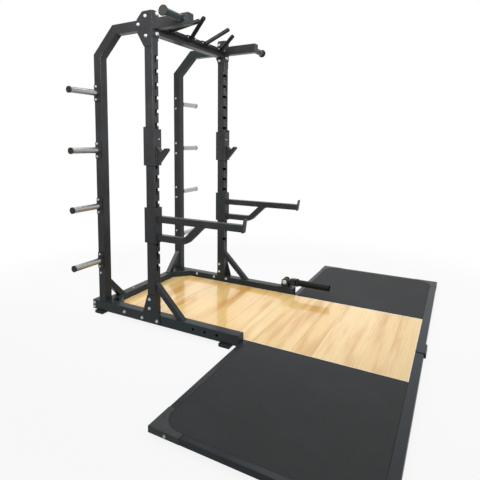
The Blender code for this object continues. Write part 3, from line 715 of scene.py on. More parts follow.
def moulded(name, tone, gloss=0.5, grain=1100):
    """Spark-eroded plastic: an even, fine leather-like grain."""
    r = Recipe(name)
    place = r.place()
    fine = r.noise(place, grain, 3, 0.6)
    patch = r.noise(place, 30, 3)
    paler = tuple(min(c * 1.7 + 0.006, 1) for c in tone)
    base = r.mix(patch.ramp(0.3, 0.8) * 0.4 + fine.ramp(0.4, 0.7) * 0.25, tone, paler)
    return r.finish(base_color=base, roughness=gloss + (fine - 0.5) * 0.15,
                    normal=r.bump(fine, 0.25, 0.0005), specular_ior_level=0.22)


FINISHES = {}


def finish_named(name):
    """Each finish is made once, when the first piece asks for it."""
    look = bpy.context.scene
    steel = look.rack_steel
    deep = tuple(c * 1.5 for c in steel.grip_bar)
    pale = tuple(c * 1.4 for c in steel.mat_frame)
    makers = {
        "coat": lambda: powder_coat("powder coat", steel.coat, steel.coat_light, steel.coat_cool_and_low_cast,
                                    steel.coat_gloss),
        "bar coat": lambda: powder_coat("grip bar coat", steel.grip_bar, deep, steel.grip_bar, 0.45,
                                        0.04),
        "frame coat": lambda: powder_coat("mat frame coat", steel.mat_frame, pale, steel.mat_frame,
                                          steel.coat_gloss),
        "chrome": chrome_plate,
        "zinc": zinc_plate,
        "mat": lambda: rubber("mat rubber", look.rack_platform.mat, look.rack_platform.mat_fleck),
        "foot": lambda: rubber("foot rubber", look.rack_fittings.foot,
                               [c * 2.2 for c in look.rack_fittings.foot], 900, 0.7, 0.0005),
        "grip": lambda: moulded("grip rubber", look.rack_fittings.grip, 0.34, 900),
        "grip face": lambda: moulded("grip face", look.rack_fittings.grip_face, 0.55, 900),
        "liner": lambda: moulded("liner plastic", look.rack_fittings.liner, 0.42),
        "cap": lambda: moulded("cap plastic", look.rack_fittings.foot, 0.38),
        "corner": lambda: moulded("corner plastic", look.rack_platform.corner_piece, 0.5),
        "oak": oak_boards,
        # The pale edge strip is a painted highlight along the deck's rim.
        "band": lambda: moulded("edge band", look.rack_platform.band, 0.35, 700),
        "core": board_core,
    }
    if name not in FINISHES:
        FINISHES[name] = makers[name]()
    return FINISHES[name]


# What the operators build

def build_base():
    """Base rails, their feet and the cross-member that closes the frame at the back. A rail is a
    rounded rectangle carried along y and hollowed out; a foot is a six-sided outline carried along
    x; each rear corner is a tube whose section is stretched between two slanted lines."""
    steel = bpy.context.scene.rack_steel
    corner, wall = steel.tube_corner, steel.wall
    x, z = (RAIL_LOW[0], RAIL_HIGH[0]), (RAIL_LOW[2], RAIL_HIGH[2])
    y0, y1 = RAIL_LOW[1], RAIL_HIGH[1]
    hole_z = (z[0] + z[1]) / 2 + 0.004
    for side in (1, -1):
        label = side_name(side)
        rail = solid(f"base_rail_tube_{label}", [block(x, (y0, y1), z, 1, corner, 0.0015, 4)], side)
        inside = eased(rectangle(x[0] + wall, x[1] - wall, z[0] + wall, z[1] - wall), corner - wall)
        cut(rail, solid("inside", [slab(inside, 1, y0 + wall, y1 - wall, 0)], side))
        holes = [lathe(disc_profile(0.010, 0.03, 0.0), (x[1] - 0.015, y0 + 0.176 + 0.101 * k, hole_z),
                       (1, 0, 0), 32) for k in range(3)]
        cut(rail, solid("holes", holes, side))
        dressed(rail, finish_named("coat"), nodes=[f"base_rail_{label}"],
                bevel=0.0004)
        caps = []
        for y in (y0, y1):
            inner = rectangle(x[0] + 0.009, x[1] - 0.009, z[0] + 0.009, z[1] - 0.009)
            towards = 0.0009 if y == y0 else -0.0009
            caps.append(slab(eased(inner, 0.004), 1, y - towards * 0.2, y + towards, 0.0004))
        for place in ("front", "rear"):
            low, high = limits(f"foot_{place}_right")
            half = (high[1] - low[1]) / 2
            c = (high[1] + low[1]) / 2
            outline = [(c - half, 0.006), (c - half + 0.006, 0), (c + half - 0.006, 0),
                       (c + half, 0.006), (c + half, high[2]), (c - half, high[2])]
            parts = [slab(eased(outline, 0.0022, 3), 0, low[0], high[0], 0.0022, 3)]
            groove = high[0] - 0.010
            for k in (-1, 0, 1):
                rib = rectangle(c + k * 0.024 - 0.006, c + k * 0.024 + 0.006, 0.008, high[2] - 0.006)
                parts.append(slab(eased(rib, 0.002, 3), 0, groove, high[0] + 0.0006, 0.0006))
            foot = solid(f"rubber_foot_{place}_{label}", parts, side)
            dressed(foot, finish_named("foot"), nodes=[f"foot_{place}_{label}"])
    end = MEMBER_HIGH[0]
    front, back = MEMBER_HIGH[1] - (z[1] - z[0]), MEMBER_HIGH[1]
    parts = [block((-end, end), (front, back), z, 0, corner, 0.0008, 4)]
    run_in = front - MEMBER_LOW[1]
    wide = (z[1] - z[0]) / 2 * math.sqrt(2)
    for s in (1, -1):
        outer = [(s * (end - run_in - 0.002), front + 0.002), (s * end, front - run_in)]
        inner = [(s * (end - run_in + wide - 0.002), front + 0.002), (s * end, front - run_in + wide)]
        parts.append(run(outer, inner, 2, *z, corner, wide / math.sqrt(2)))
        top = [(s * (end - run_in), front), (s * (end - run_in + wide), front)]
        parts.append(weld(top, 2, z[1] - 0.001, steel.bead * SMALL_BEAD, closed=False))
    coated("rear_member", parts, nodes=["rear_cross_member"])


def slot_cutters(steel):
    """The seven-shaped hanging slots, with eased corners, and their mouths round the inner side."""
    half, mouth, wrap, past = 0.010, 0.024, 0.017, 0.02
    through = steel.wall + 0.002
    slots, mouths = [], []
    for k in range(steel.slot_count):
        top = TOP - steel.slot_top - steel.slot_pitch * k
        ell = [(MID + half, top - SLOT_DROP), (MID + half, top), (IN - past, top),
               (IN - past, top - mouth), (MID - half, top - mouth), (MID - half, top - SLOT_DROP)]
        radii = np.array([0.006, 0.004, 0, 0, 0.002, 0.006])
        slots.append(slab(eased(ell, radii, 4), 1, -past, through, 0))
        opening = eased(rectangle(-past, wrap, top - mouth, top), np.array([0, 0.003, 0.003, 0]), 3)
        mouths.append(slab(opening, 0, IN - past, IN + through, 0))
    return slots, mouths


def build_uprights():
    """Slotted front uprights and the bent rear frames. An upright is a rounded rectangle carried
    straight up, hollowed out and cut through; a rear frame's section is stretched between two
    lines that turn twice by 45 degrees."""
    steel = bpy.context.scene.rack_steel
    corner, wall = steel.tube_corner, steel.wall
    turn = TUBE * math.tan(math.radians(22.5))
    bevel = 0.206
    for side in (1, -1):
        label = side_name(side)
        z0, z1 = UPRIGHT_LOW[2], TOP
        post = solid(f"slotted_post_{label}",
                     [block((IN, OUT), (0, TUBE), (z0, z1), 2, corner, 0.001, 4)], side)
        inside = eased(rectangle(IN + wall, OUT - wall, wall, TUBE - wall), corner - wall)
        cut(post, solid("inside", [slab(inside, 2, z0 + wall, z1 - wall, 0)], side))
        slots, mouths = slot_cutters(steel)
        cut(post, solid("slots", slots, side), solid("mouths", mouths, side))
        dressed(post, finish_named("coat"), nodes=[f"front_upright_{label}"])
        y0, z0 = REAR_LOW[1:]
        outer = [(BACK, z0), (BACK, TOP_TUBE - bevel), (BACK - bevel, TOP_TUBE), (y0, TOP_TUBE)]
        inner = [(REAR, z0), (REAR, TOP_TUBE - bevel - turn), (BACK - bevel - turn, TOP_TUBE - TUBE),
                 (y0, TOP_TUBE - TUBE)]
        parts = [run(outer, inner, 0, IN, OUT, corner, TUBE)]
        foot = eased(rectangle(IN, OUT, REAR, BACK), corner)
        parts.append(weld(foot, 2, z0 + 0.0006, steel.bead * SMALL_BEAD))
        coated(f"rear_frame_tube_{label}", parts, side, [f"rear_frame_{label}"])


def build_braces():
    """The square tubes that prop the uprights, with their weld beads. A front brace runs along y
    and a rear one along x, each between two slanted ends."""
    bead = bpy.context.scene.rack_steel.bead * SMALL_BEAD
    for side in (1, -1):
        for place, across, along in (("front", 0, 1), ("rear", 1, 0)):
            low, high = limits(f"{place}_brace_right")
            thick = high[across] - low[across]
            drop = thick * math.sqrt(2)
            outer = [(high[along], high[2]), (low[along], low[2])]
            inner = [(high[along], high[2] - drop), (low[along] + drop, low[2])]
            head = rectangle(low[across], high[across], high[2] - drop, high[2])
            spans = {across: (low[across], high[across]), along: (low[along], low[along] + drop)}
            foot = rectangle(*spans[0], *spans[1])
            parts = [run(outer, inner, across, low[across], high[across], ROUNDED, thick),
                     weld(eased(head, ROUNDED), along, high[along] - 0.0012, bead),
                     weld(eased(foot, ROUNDED), 2, low[2] + 0.0012, bead)]
            label = side_name(side)
            coated(f"{place}_prop_{label}", parts, side, [f"{place}_brace_{label}"])


def build_gussets():
    """The bolted side plates at the head and the foot of each front upright: outlines with arcs
    at their corners, carried through the plate's thickness."""
    steel = bpy.context.scene.rack_steel
    low = RAIL_LOW[2] + 0.005
    under = TOP_TUBE - TUBE
    plates = {
        "top_gusset": [(0.001, TOP), (0.001, TOP - 0.258), (TUBE - 0.002, TOP - 0.258),
                       (TUBE + 0.0585, under - 0.024), (TUBE + 0.064, TOP_TUBE + 0.004),
                       (TUBE + 0.012, TOP)],
        "base_gusset": [(0.001, RAIL_TOP + 0.151), (-0.043, RAIL_TOP), (-0.053, low),
                        (TUBE + 0.068, low), (TUBE - 0.002, RAIL_TOP + 0.151)],
    }
    for side in (1, -1):
        for name, outline in plates.items():
            x0, x1 = (limits(f"{name}_right")[k][0] for k in (0, 1))
            plate = slab(eased(outline, 0.003, 3), 0, x0, x1, steel.rim)
            label = side_name(side)
            coated(f"{name}_plate_{label}", [plate], side, [f"{name}_{label}"])


def build_beam():
    """Chin-up beam, its strip of handles, the front arms and their end grips. A handle is turned
    about its own line, with a dome at its tip: radius r cos a at height 0.55 r sin a."""
    steel = bpy.context.scene.rack_steel
    end, edge, strip_front = BEAM_HIGH[0], 0.002, -0.030
    strip = (STRIP, STRIP + STRIP_HEIGHT)
    parts = [block((-end + 0.001, end - 0.001), (0, TUBE), (BEAM_UNDER, BEAM_TOP), 0,
                   steel.tube_corner, 0.0005, 4),
             block((-BEAM_END, BEAM_END), (strip_front, 0.001), strip, 0, 0.002, 0.001)]
    for s in (1, -1):
        plate = eased(rectangle(edge, TUBE - edge, BEAM_UNDER - 0.050, TOP - 0.012), 0.006)
        parts.append(slab(plate, 0, s * (end - FLANGE), s * end, steel.rim))
        ring = eased(rectangle(0.0005, TUBE - 0.0005, BEAM_UNDER, BEAM_TOP), 0.005)
        parts.append(weld(ring, 0, s * (end - FLANGE), steel.bead))
    for z in strip:
        seam = [(-BEAM_END + 0.02, -0.0005), (BEAM_END - 0.02, -0.0005)]
        parts.append(weld(seam, 2, z, steel.bead * 0.6, closed=False))
    coated("chin_up_beam_tube", parts, nodes=["chin_up_beam"])
    middle = STRIP + STRIP_HEIGHT / 2
    front = strip_front - GAP
    outer, inner = (OUTER_HANDLE, (0.279, 0.1874, 0.0785)), (INNER_HANDLE, (0.211, 0.1857, 0.1215))
    for number, (s, (base, tip)) in enumerate(((-1, outer), (-1, inner), (1, inner), (1, outer)), 1):
        plate = block((base - 0.066, base + 0.066), (front - 0.006, front),
                      (STRIP - 0.004, STRIP + 0.029), 1, ROUNDED, 0.001)
        start = np.array((base, front - 0.003, middle))
        finish = np.array((tip[0], front - tip[1], middle + tip[2]))
        reach = np.linalg.norm(finish - start)
        r = 0.0175
        dome = [(r * math.cos(a), reach - r * 0.55 + r * 0.55 * math.sin(a))
                for a in np.linspace(0, math.pi / 2, 9)]
        rod = lathe([(0, 0), (r, 0)] + dome, start, finish - start, 40)
        collar = eased(rectangle(base - 0.021, base + 0.021, middle - 0.0165, middle + 0.0165), 0.016, 6)
        bead = weld(collar, 1, front - 0.0065, steel.bead * SMALL_BEAD)
        handle = solid(f"grip_bar_{number}", [plate, rod, bead], s)
        dressed(handle, finish_named("bar coat"),
                nodes=[f"chin_up_handle_{number}"])
    for side in (1, -1):
        label = side_name(side)
        arm_low, arm_high = limits("front_arm_right")
        z0, z1 = TOP_TUBE - 0.082, TOP_TUBE - 0.004
        back = arm_high[1]
        plate = slab(eased(rectangle(IN, OUT, arm_low[2], arm_high[2]), 0.006), 1, back - FLANGE,
                     back, steel.rim)
        tube = block((IN, OUT), (arm_low[1] + 0.003, back - 0.007), (z0, z1), 1, steel.tube_corner,
                     0.0004, 4)
        ring = eased(rectangle(IN + 0.001, OUT - 0.001, z0, z1), 0.005)
        bead = weld(ring, 1, back - 0.0085, steel.bead * SMALL_BEAD)
        coated(f"front_arm_tube_{label}", [plate, tube, bead], side, [f"front_arm_{label}"])
        lid = [block((IN + 0.0005, OUT - 0.0005), (arm_low[1], arm_low[1] + 0.0035),
                     (z0 + 0.0005, z1 - 0.0005), 1, 0.006, 0.0015, 4)]
        dressed(solid(f"arm_end_cap_{label}", lid, side), finish_named("cap"))
        g_low, g_high = limits("end_grip_right")
        y, z = (g_low[1] + g_high[1]) / 2, (g_low[2] + g_high[2]) / 2
        reach = g_high[0] - g_low[0]
        r = 0.026
        shaft = turning([(0, 0), (r + 0.003, 0), (r + 0.003, 0.006), (r, 0.008), (r, reach - 0.007),
                         (0, reach - 0.007)], 0.0012)
        grip = solid(f"end_grip_shaft_{label}", [lathe(shaft, (g_low[0], y, z), (1, 0, 0), 56)], side)
        dressed(grip, finish_named("grip"), nodes=[f"end_grip_{label}"])
        big = (g_high[2] - g_low[2]) / 2
        dish = turning([(0, reach - 0.0085), (big, reach - 0.0085), (big, reach), (big - 0.003, reach),
                        (big - 0.004, reach - 0.0015), (0.012, reach - 0.0015), (0.010, reach - 0.0035),
                        (0, reach - 0.0035)], 0.0010)
        disc = solid(f"end_grip_disc_{label}", [lathe(dish, (g_low[0], y, z), (1, 0, 0), 64)], side)
        dressed(disc, finish_named("grip"))
        wide = big - 0.0043
        face = turning([(0, reach - 0.004), (wide, reach - 0.004), (wide, reach - 0.0006),
                        (0, reach - 0.0006)], 0.0008)
        plate = solid(f"end_grip_face_{label}", [lathe(face, (g_low[0], y, z), (1, 0, 0), 64)], side)
        dressed(plate, finish_named("grip face"))


def build_horns():
    """Plate storage horns: a flange carried through its thickness, and a hub, a chromed tube and a
    black end cap turned about one line."""
    steel, look = bpy.context.scene.rack_steel, bpy.context.scene.rack_fittings
    for side in (1, -1):
        for number in (1, 2, 3, 4):
            label = f"{side_name(side)}_{number}"
            low, high = limits(f"horn_mount_right_{number}")
            y, z = (low[1] + high[1]) / 2, (low[2] + high[2]) / 2
            face, hub_end = low[0], high[0]
            plate = slab(eased(rectangle(low[1], high[1], low[2], high[2]), 0.007), 0, face,
                         face + FLANGE, steel.rim)
            hub = turning([(0, 0.004), (0.030, 0.004), (0.030, hub_end - face), (0, hub_end - face)],
                          0.0025)
            t = np.linspace(0, 2 * np.pi, 48, endpoint=False)
            ring = np.stack([y + 0.0305 * np.cos(t), z + 0.0305 * np.sin(t)], -1)
            parts = [plate, lathe(hub, (face, y, z), (1, 0, 0)),
                     weld(ring, 0, face + 0.0085, steel.bead * SMALL_BEAD)]
            coated(f"horn_flange_{label}", parts, side, [f"horn_mount_{label}"])
            h_low, h_high = limits(f"storage_horn_right_{number}")
            r, reach = (h_high[2] - h_low[2]) / 2, h_high[0] - h_low[0]
            tube = turning([(0, 0), (r - 0.0004, 0), (r - 0.0004, reach - look.horn_cap + 0.001),
                            (0, reach - look.horn_cap + 0.001)], 0.0005)
            dressed(solid(f"horn_tube_{label}", [lathe(tube, (h_low[0], y, z), (1, 0, 0), 64)], side),
                    finish_named("chrome"), nodes=[f"storage_horn_{label}"])
            cap = turning([(0, reach - look.horn_cap), (r + 0.0012, reach - look.horn_cap),
                           (r + 0.0012, reach), (0, reach)], 0.0026, 5)
            dressed(solid(f"horn_cap_{label}", [lathe(cap, (h_low[0], y, z), (1, 0, 0), 64)], side),
                    finish_named("cap"))


def bracket(name, low, side, steel, outer_rise, hole):
    """The U round an upright, with its two pegs: its plan has arcs at the two bends and is carried
    straight up. The hole for its lock pin goes through the inner side, and the outer side may
    stand higher than the rest."""
    high = low + BRACKET_HEIGHT
    x0, x1 = IN - 0.010, OUT + 0.010
    front, back, t = BRACKET_FRONT, TUBE + 0.012, FLANGE
    plan = [(x0, front), (x1, front), (x1, back), (x1 - t, back), (x1 - t, front + t),
            (x0 + t, front + t), (x0 + t, back), (x0, back)]
    radii = np.array([0.0095, 0.0095, 0.002, 0.002, 0.0015, 0.0015, 0.002, 0.002])
    plate = solid(name, [slab(eased(plan, radii, 6), 2, low, high + outer_rise, steel.rim)], side)
    cutters = [solid("hole", [lathe(disc_profile(0.0065, 0.03, 0.0), (x0 - 0.015, *hole), (1, 0, 0), 28)],
                     side)]
    if outer_rise:
        above = rectangle(x0 - 0.01, x1 - t, front - 0.01, back + 0.01)
        cutters.append(solid("above", [slab(above, 2, high, high + 0.05, 0)], side))
    cut(plate, *cutters)
    pegs = []
    for top in (low + 0.124, low + 0.224):
        base = top - SLOT_DROP + GAP
        pegs.append(block((MID - 0.008, MID + 0.008), (front + 0.004, 0.010),
                          (base, base + 0.022), 1, 0.002, 0.0015))
    return plate, pegs


def build_j_cups():
    """Bar hooks: the bracket, and a hook and a plastic liner whose vee-shaped outlines are carried
    across the upright."""
    steel = bpy.context.scene.rack_steel
    for side in (1, -1):
        label = side_name(side)
        b_low, b_high = limits("j_cup_right")
        low = b_low[2]
        plate, parts = bracket(f"hook_bracket_{label}", low, side, steel,
                               b_high[2] - low - BRACKET_HEIGHT, (0.056, low + 0.151))
        dressed(plate, finish_named("coat"), f"j_cup_{label}_body",
                [f"j_cup_{label}"], bevel=0.0006)
        seat_y, seat_z = WEB - 0.047, low + 0.092
        hook = [(WEB, low + 0.006), (WEB - 0.011, low + 0.006), (WEB - 0.1077, low + 0.1193),
                (seat_y - 0.044, seat_z + 0.044), (seat_y, seat_z), (seat_y + 0.042, seat_z + 0.042),
                (WEB, seat_z + 0.042)]
        radii = np.array([0, 0.003, 0.011, 0.009, 0, 0.001, 0])
        parts.append(slab(eased(hook, radii), 0, MID - 0.018, MID + 0.018, 0.0015))
        for x in (MID - 0.018, MID + 0.018):
            seam = [(BRACKET_FRONT - 0.0002, low + 0.008), (BRACKET_FRONT - 0.0002, seat_z + 0.040)]
            parts.append(weld(seam, 0, x, steel.bead * 0.7, closed=False))
        coated(f"bar_hook_{label}", parts, side, body=f"j_cup_{label}_body")
        small = bpy.context.scene.rack_fasteners
        pins = [lathe(disc_profile(small.across_flats * 0.3, 0.0035, 0.0012),
                      (x, BRACKET_FRONT, low + 0.2005), (0, -1, 0), 24)
                for x in (MID - 0.012, MID - 0.041)]
        dressed(solid(f"hook_pins_{label}", pins, side), finish_named("zinc"),
                f"j_cup_{label}_body")
        lift, thick, tip, back = GAP * math.sqrt(2), 0.006 * math.sqrt(2), 0.035, 0.0424
        square = 0.006 / math.sqrt(2)
        vee = [(seat_y + back, seat_z + back + lift), (seat_y, seat_z + lift),
               (seat_y - tip, seat_z + tip + lift), (seat_y - tip + square, seat_z + tip + square + lift),
               (seat_y, seat_z + lift + thick), (seat_y + back, seat_z + back + lift + thick)]
        liner = slab(eased(vee, np.array([0.001, 0.002, 0.0015, 0.0015, 0.006, 0.001])), 0,
                     MID - 0.022, MID + 0.022, 0.0014)
        dressed(solid(f"hook_liner_{label}", [liner], side), finish_named("liner"),
                f"j_cup_{label}_body", [f"j_cup_liner_{label}"])


def build_spotters():
    """Safety arms: bracket, level arm with its upturned end plate, and the lower tube, whose two
    long outlines run level, turn by 44 degrees round one centre and rise to the arm. The end
    leans out by 13 mm in proportion to the height over the arm's underside."""
    steel = bpy.context.scene.rack_steel
    for side in (1, -1):
        label = side_name(side)
        b_low, b_high = limits("spotter_arm_right")
        low, end = b_low[2], b_low[1]
        plate, parts = bracket(f"safety_bracket_{label}", low, side, steel, 0, (0.058, low + 0.139))
        dressed(plate, finish_named("coat"), f"spotter_{label}_body",
                [f"spotter_arm_{label}"], bevel=0.0006)
        t = 0.050
        lo, hi = MID - t / 2, MID + t / 2
        arm_low = low + 0.162
        arm_high = arm_low + t
        parts.append(block((lo, hi), (end + 0.006, WEB), (arm_low, arm_high), 1, ROUNDED, 0.0005, 4))
        stop = b_high[2] if b_high[2] < arm_high + 0.05 else arm_high + 0.042
        radii = np.array([0.003, 0.003, 0.012, 0.012])
        plate = eased(rectangle(lo, hi, arm_low - 0.006, stop), radii, 5)
        parts.append(slab(plate, 1, end, end + FLANGE, steel.rim))
        under, over, bend_y, radius, angle = low + 0.016, low + 0.016 + t, -0.235, 0.110, 44
        centre = (bend_y, under + radius)
        outer = bend([(WEB, under), (bend_y, under)], centre, radius, -90, -angle, 14)
        inner = bend([(WEB, over), (bend_y, over)], centre, radius - t, -90, -angle, 14)
        meet = arm_low + 0.004
        lines = []
        for line in (outer, inner):
            y, z = line[-1]
            lines.append(np.concatenate([line, [(y - (meet - z) / math.tan(math.radians(angle)), meet)]]))
        parts.append(run(*lines, 0, lo, hi, ROUNDED, t))
        ring = eased(rectangle(lo, hi, arm_low, arm_high), ROUNDED)
        parts.append(weld(ring, 1, -0.0175, steel.bead))
        parts.append(weld(ring, 1, end + 0.0082, steel.bead * 0.7))
        parts.append(weld(eased(rectangle(lo, hi, under, over), ROUNDED), 1, -0.0175, steel.bead))
        foot = eased(rectangle(lo, hi, lines[0][-1][0] - 0.004, lines[1][-1][0] - 0.004), ROUNDED)
        parts.append(weld(foot, 2, arm_low - 0.0004, steel.bead * 0.9))
        lean, tip = 0.013, end + 0.02
        for points, _ in parts:
            up = np.clip((points[:, 2] - arm_low) / (stop - arm_low), 0, 1)
            points[:, 1] -= np.where(points[:, 1] < tip, lean * up, 0)
        coated(f"safety_arm_{label}", parts, side, body=f"spotter_{label}_body")


def build_landmine():
    """Barbell pivot: yoke, pitching link and swinging sleeve. A cheek's outline is half a circle on
    two straight sides; pin, hub and sleeve are turned about their own axes."""
    steel = bpy.context.scene.rack_steel
    low, high = limits("landmine_base")
    x = (RAIL_LOW[0] + RAIL_HIGH[0]) / 2
    base_top = low[2] + FLANGE
    y = low[1] + 0.045
    z = RAIL_TOP + 0.053
    parts = [block((low[0], high[0]), (y - 0.045, y + 0.060), (low[2], base_top), 2, ROUNDED,
                   steel.rim)]
    a = np.linspace(np.pi, 0, 33)
    cheek = np.concatenate([[(y - 0.032, base_top - 0.003)],
                            np.stack([y + 0.032 * np.cos(a), z + 0.032 * np.sin(a)], -1),
                            [(y + 0.032, base_top - 0.003)]])
    for s in (1, -1):
        parts.append(slab(cheek, 0, x + s * 0.0265, x + s * 0.0345, steel.rim))
        seam = [(x + s * 0.035, y - 0.031), (x + s * 0.035, y + 0.031)]
        parts.append(weld(seam, 2, base_top, steel.bead * SMALL_BEAD, closed=False))
        parts.append(lathe(disc_profile(0.020, 0.006, 0.0015), (x + s * 0.0345, y, z), (s, 0, 0), 40))
    parts.append(lathe(disc_profile(0.009, 0.072, 0.0005), (x - 0.036, y, z), (1, 0, 0), 32))
    coated("pivot_yoke", parts, nodes=["landmine_base"])
    pin = turning([(0, 0), (0.0215, 0), (0.0215, 0.0030), (0.0150, 0.0034), (0.0150, 0.0085),
                   (0.0115, 0.0105), (0, 0.0105)], 0.0012)
    heads = [lathe(pin, (x + s * 0.0402, y, z), (s, 0, 0), 40) for s in (1, -1)]
    dressed(solid("pivot_pin_heads", heads), finish_named("zinc"))
    swivel = y - 0.070
    hub = turning([(0.0095, -0.0255), (0.026, -0.0255), (0.026, 0.0255), (0.0095, 0.0255)], 0.0015)
    t = np.linspace(0, 2 * np.pi, 40, endpoint=False)
    parts = [lathe(hub, (x, y, z), (1, 0, 0), 48, ring=True),
             block((x - 0.020, x + 0.020), (swivel, y - 0.020), (z - 0.016, z + 0.016), 1, 0.003, 0.0005),
             lathe(disc_profile(0.030, 0.048, 0.0015, -0.024), (x, swivel, z), (0, 0, 1)),
             lathe(disc_profile(0.008, 0.070, 0.001, -0.036), (x, swivel, z), (0, 0, 1), 32)]
    coated("pivot_link", parts, nodes=["landmine_link"], body="landmine_link_body")
    nut = [hexagon((x, swivel, z + 0.0328), (0, 0, 1), 0.022, 0.0070)]
    dressed(solid("pivot_nut", nut), finish_named("zinc"), "landmine_link_body")
    s_low, s_high = limits("landmine_sleeve")
    plan = eased(rectangle(x - 0.022, x + 0.022, swivel - 0.046, swivel + 0.020),
                 np.array([0.001, 0.001, 0.018, 0.018]), 8)
    ears = [slab(plan, 2, z + 0.0245, z + 0.0320, 0.001), slab(plan, 2, z - 0.0320, z - 0.0245, 0.001)]
    ears.append(block((x - 0.022, x + 0.022), (swivel - 0.050, swivel - 0.036), (z - 0.032, z + 0.032),
                      1, 0.003, 0.001))
    fork = solid("sleeve_fork", ears)
    hole = [lathe(disc_profile(0.0085, 0.1, 0.0), (x, swivel, z - 0.05), (0, 0, 1), 32)]
    cut(fork, solid("hole", hole))
    dressed(fork, finish_named("coat"), "landmine_sleeve_body",
            ["landmine_sleeve"])
    r, bore = (s_high[0] - s_low[0]) / 2, 0.0255
    start, mouth = 0.046, swivel - s_low[1]
    wall = turning([(bore, start + 0.010), (bore, mouth), (r, mouth), (r, start + 0.006),
                    (bore, start + 0.006)], 0.0012)
    ring = np.stack([x + (r + 0.0004) * np.cos(t), z + (r + 0.0004) * np.sin(t)], -1)
    tube = [lathe(wall, (x, swivel, z), (0, -1, 0), 64, ring=True)]
    bead = weld(ring, 1, swivel - 0.0515, steel.bead * 0.6)
    dressed(solid("sleeve_tube", tube + [bead]), finish_named("bar coat"),
            "landmine_sleeve_body")


def build_deck():
    """Oak boards on a plywood core, with battens underneath. Each board is its own rectangle, cut
    off at the rear corners, carried up through its thickness; a pale strip runs round them all, a painted
    highlight along the deck's rim."""
    look = bpy.context.scene.rack_platform
    x1, y0, y1 = DECK_HIGH[0], DECK_LOW[1], DECK_HIGH[1]
    corner = MEMBER_CUT - 0.002
    cut_y = y1 - (x1 - corner)
    plan = np.array([(-x1, y0), (x1, y0), (x1, cut_y), (corner, y1), (-corner, y1), (-x1, cut_y)])
    top = DECK_HIGH[2]
    core_top = top - look.board_thickness
    parts = [slab(plan, 2, DECK_UNDER, core_top, 0.0005)]
    for y in np.linspace(y0 + 0.06, y1 - 0.29, 6):
        parts.append(block((-x1 + 0.03, x1 - 0.03), (y - 0.03, y + 0.03), (0, 0.0190), 0, 0.002, 0.002))
    dressed(solid("deck_core", parts), finish_named("core"))
    rng = np.random.default_rng(11)
    # The strip round the boards is painted pale, a painted highlight along the deck's rim.
    band = look.highlight_band_width
    outer, draw = mitres(anticlockwise(plan))
    inner = outer + draw * band
    turn_y = cut_y - band * (math.sqrt(2) - 1)
    sides = [strip([inner[k - 1], inner[k]], [outer[k - 1], outer[k]], core_top + 0.0002, top, 0.0006)
             for k in range(len(outer))]
    dressed(solid("deck_highlight_band", sides), finish_named("band"))
    rows = int(round((y1 - y0) / look.board_width))
    edges = np.linspace(y0 + band, y1 - band, rows + 1)
    boards, tones, shifts = [], [], []
    for row in range(rows):
        a, b = edges[row] + look.board_seam / 2, edges[row + 1] - look.board_seam / 2
        reach = [x1 - band - max(0.0, y - turn_y) for y in (a, b)]
        outline = [(-reach[0], a), (reach[0], a)]
        if a < turn_y < b:
            outline += [(x1 - band, turn_y), (reach[1], b), (-reach[1], b), (-x1 + band, turn_y)]
        else:
            outline += [(reach[1], b), (-reach[1], b)]
        boards.append(slab(np.array(outline), 2, core_top + 0.0002, top, 0.0003, 2))
        tones.append(rng.uniform(0, 1))
        shifts.append(rng.uniform(0, 4))
    deck = solid("deck_boards", boards)
    mark_boards(deck, boards, tones, shifts)
    dressed(deck, finish_named("oak"), nodes=["wood_deck"])


def mark_boards(deck, boards, tones, shifts):
    """Writes each board's tone and grain shift on its vertices, by the board that holds them."""
    mesh = deck.data
    points = np.empty(len(mesh.vertices) * 3)
    mesh.vertices.foreach_get("co", points)
    points = points.reshape(-1, 3) - (0, FRONT, 0)
    tone, shift = np.zeros(len(points)), np.zeros(len(points))
    for (vertices, _), t, s in zip(boards, tones, shifts):
        low, high = vertices.min(0) - 1e-4, vertices.max(0) + 1e-4
        inside = ((points > low) & (points < high)).all(1)
        tone[inside], shift[inside] = t, s
    for name, values in (("board_tone", tone), ("board_shift", shift)):
        layer = mesh.attributes.new(name, "FLOAT", "POINT")
        layer.data.foreach_set("value", values)


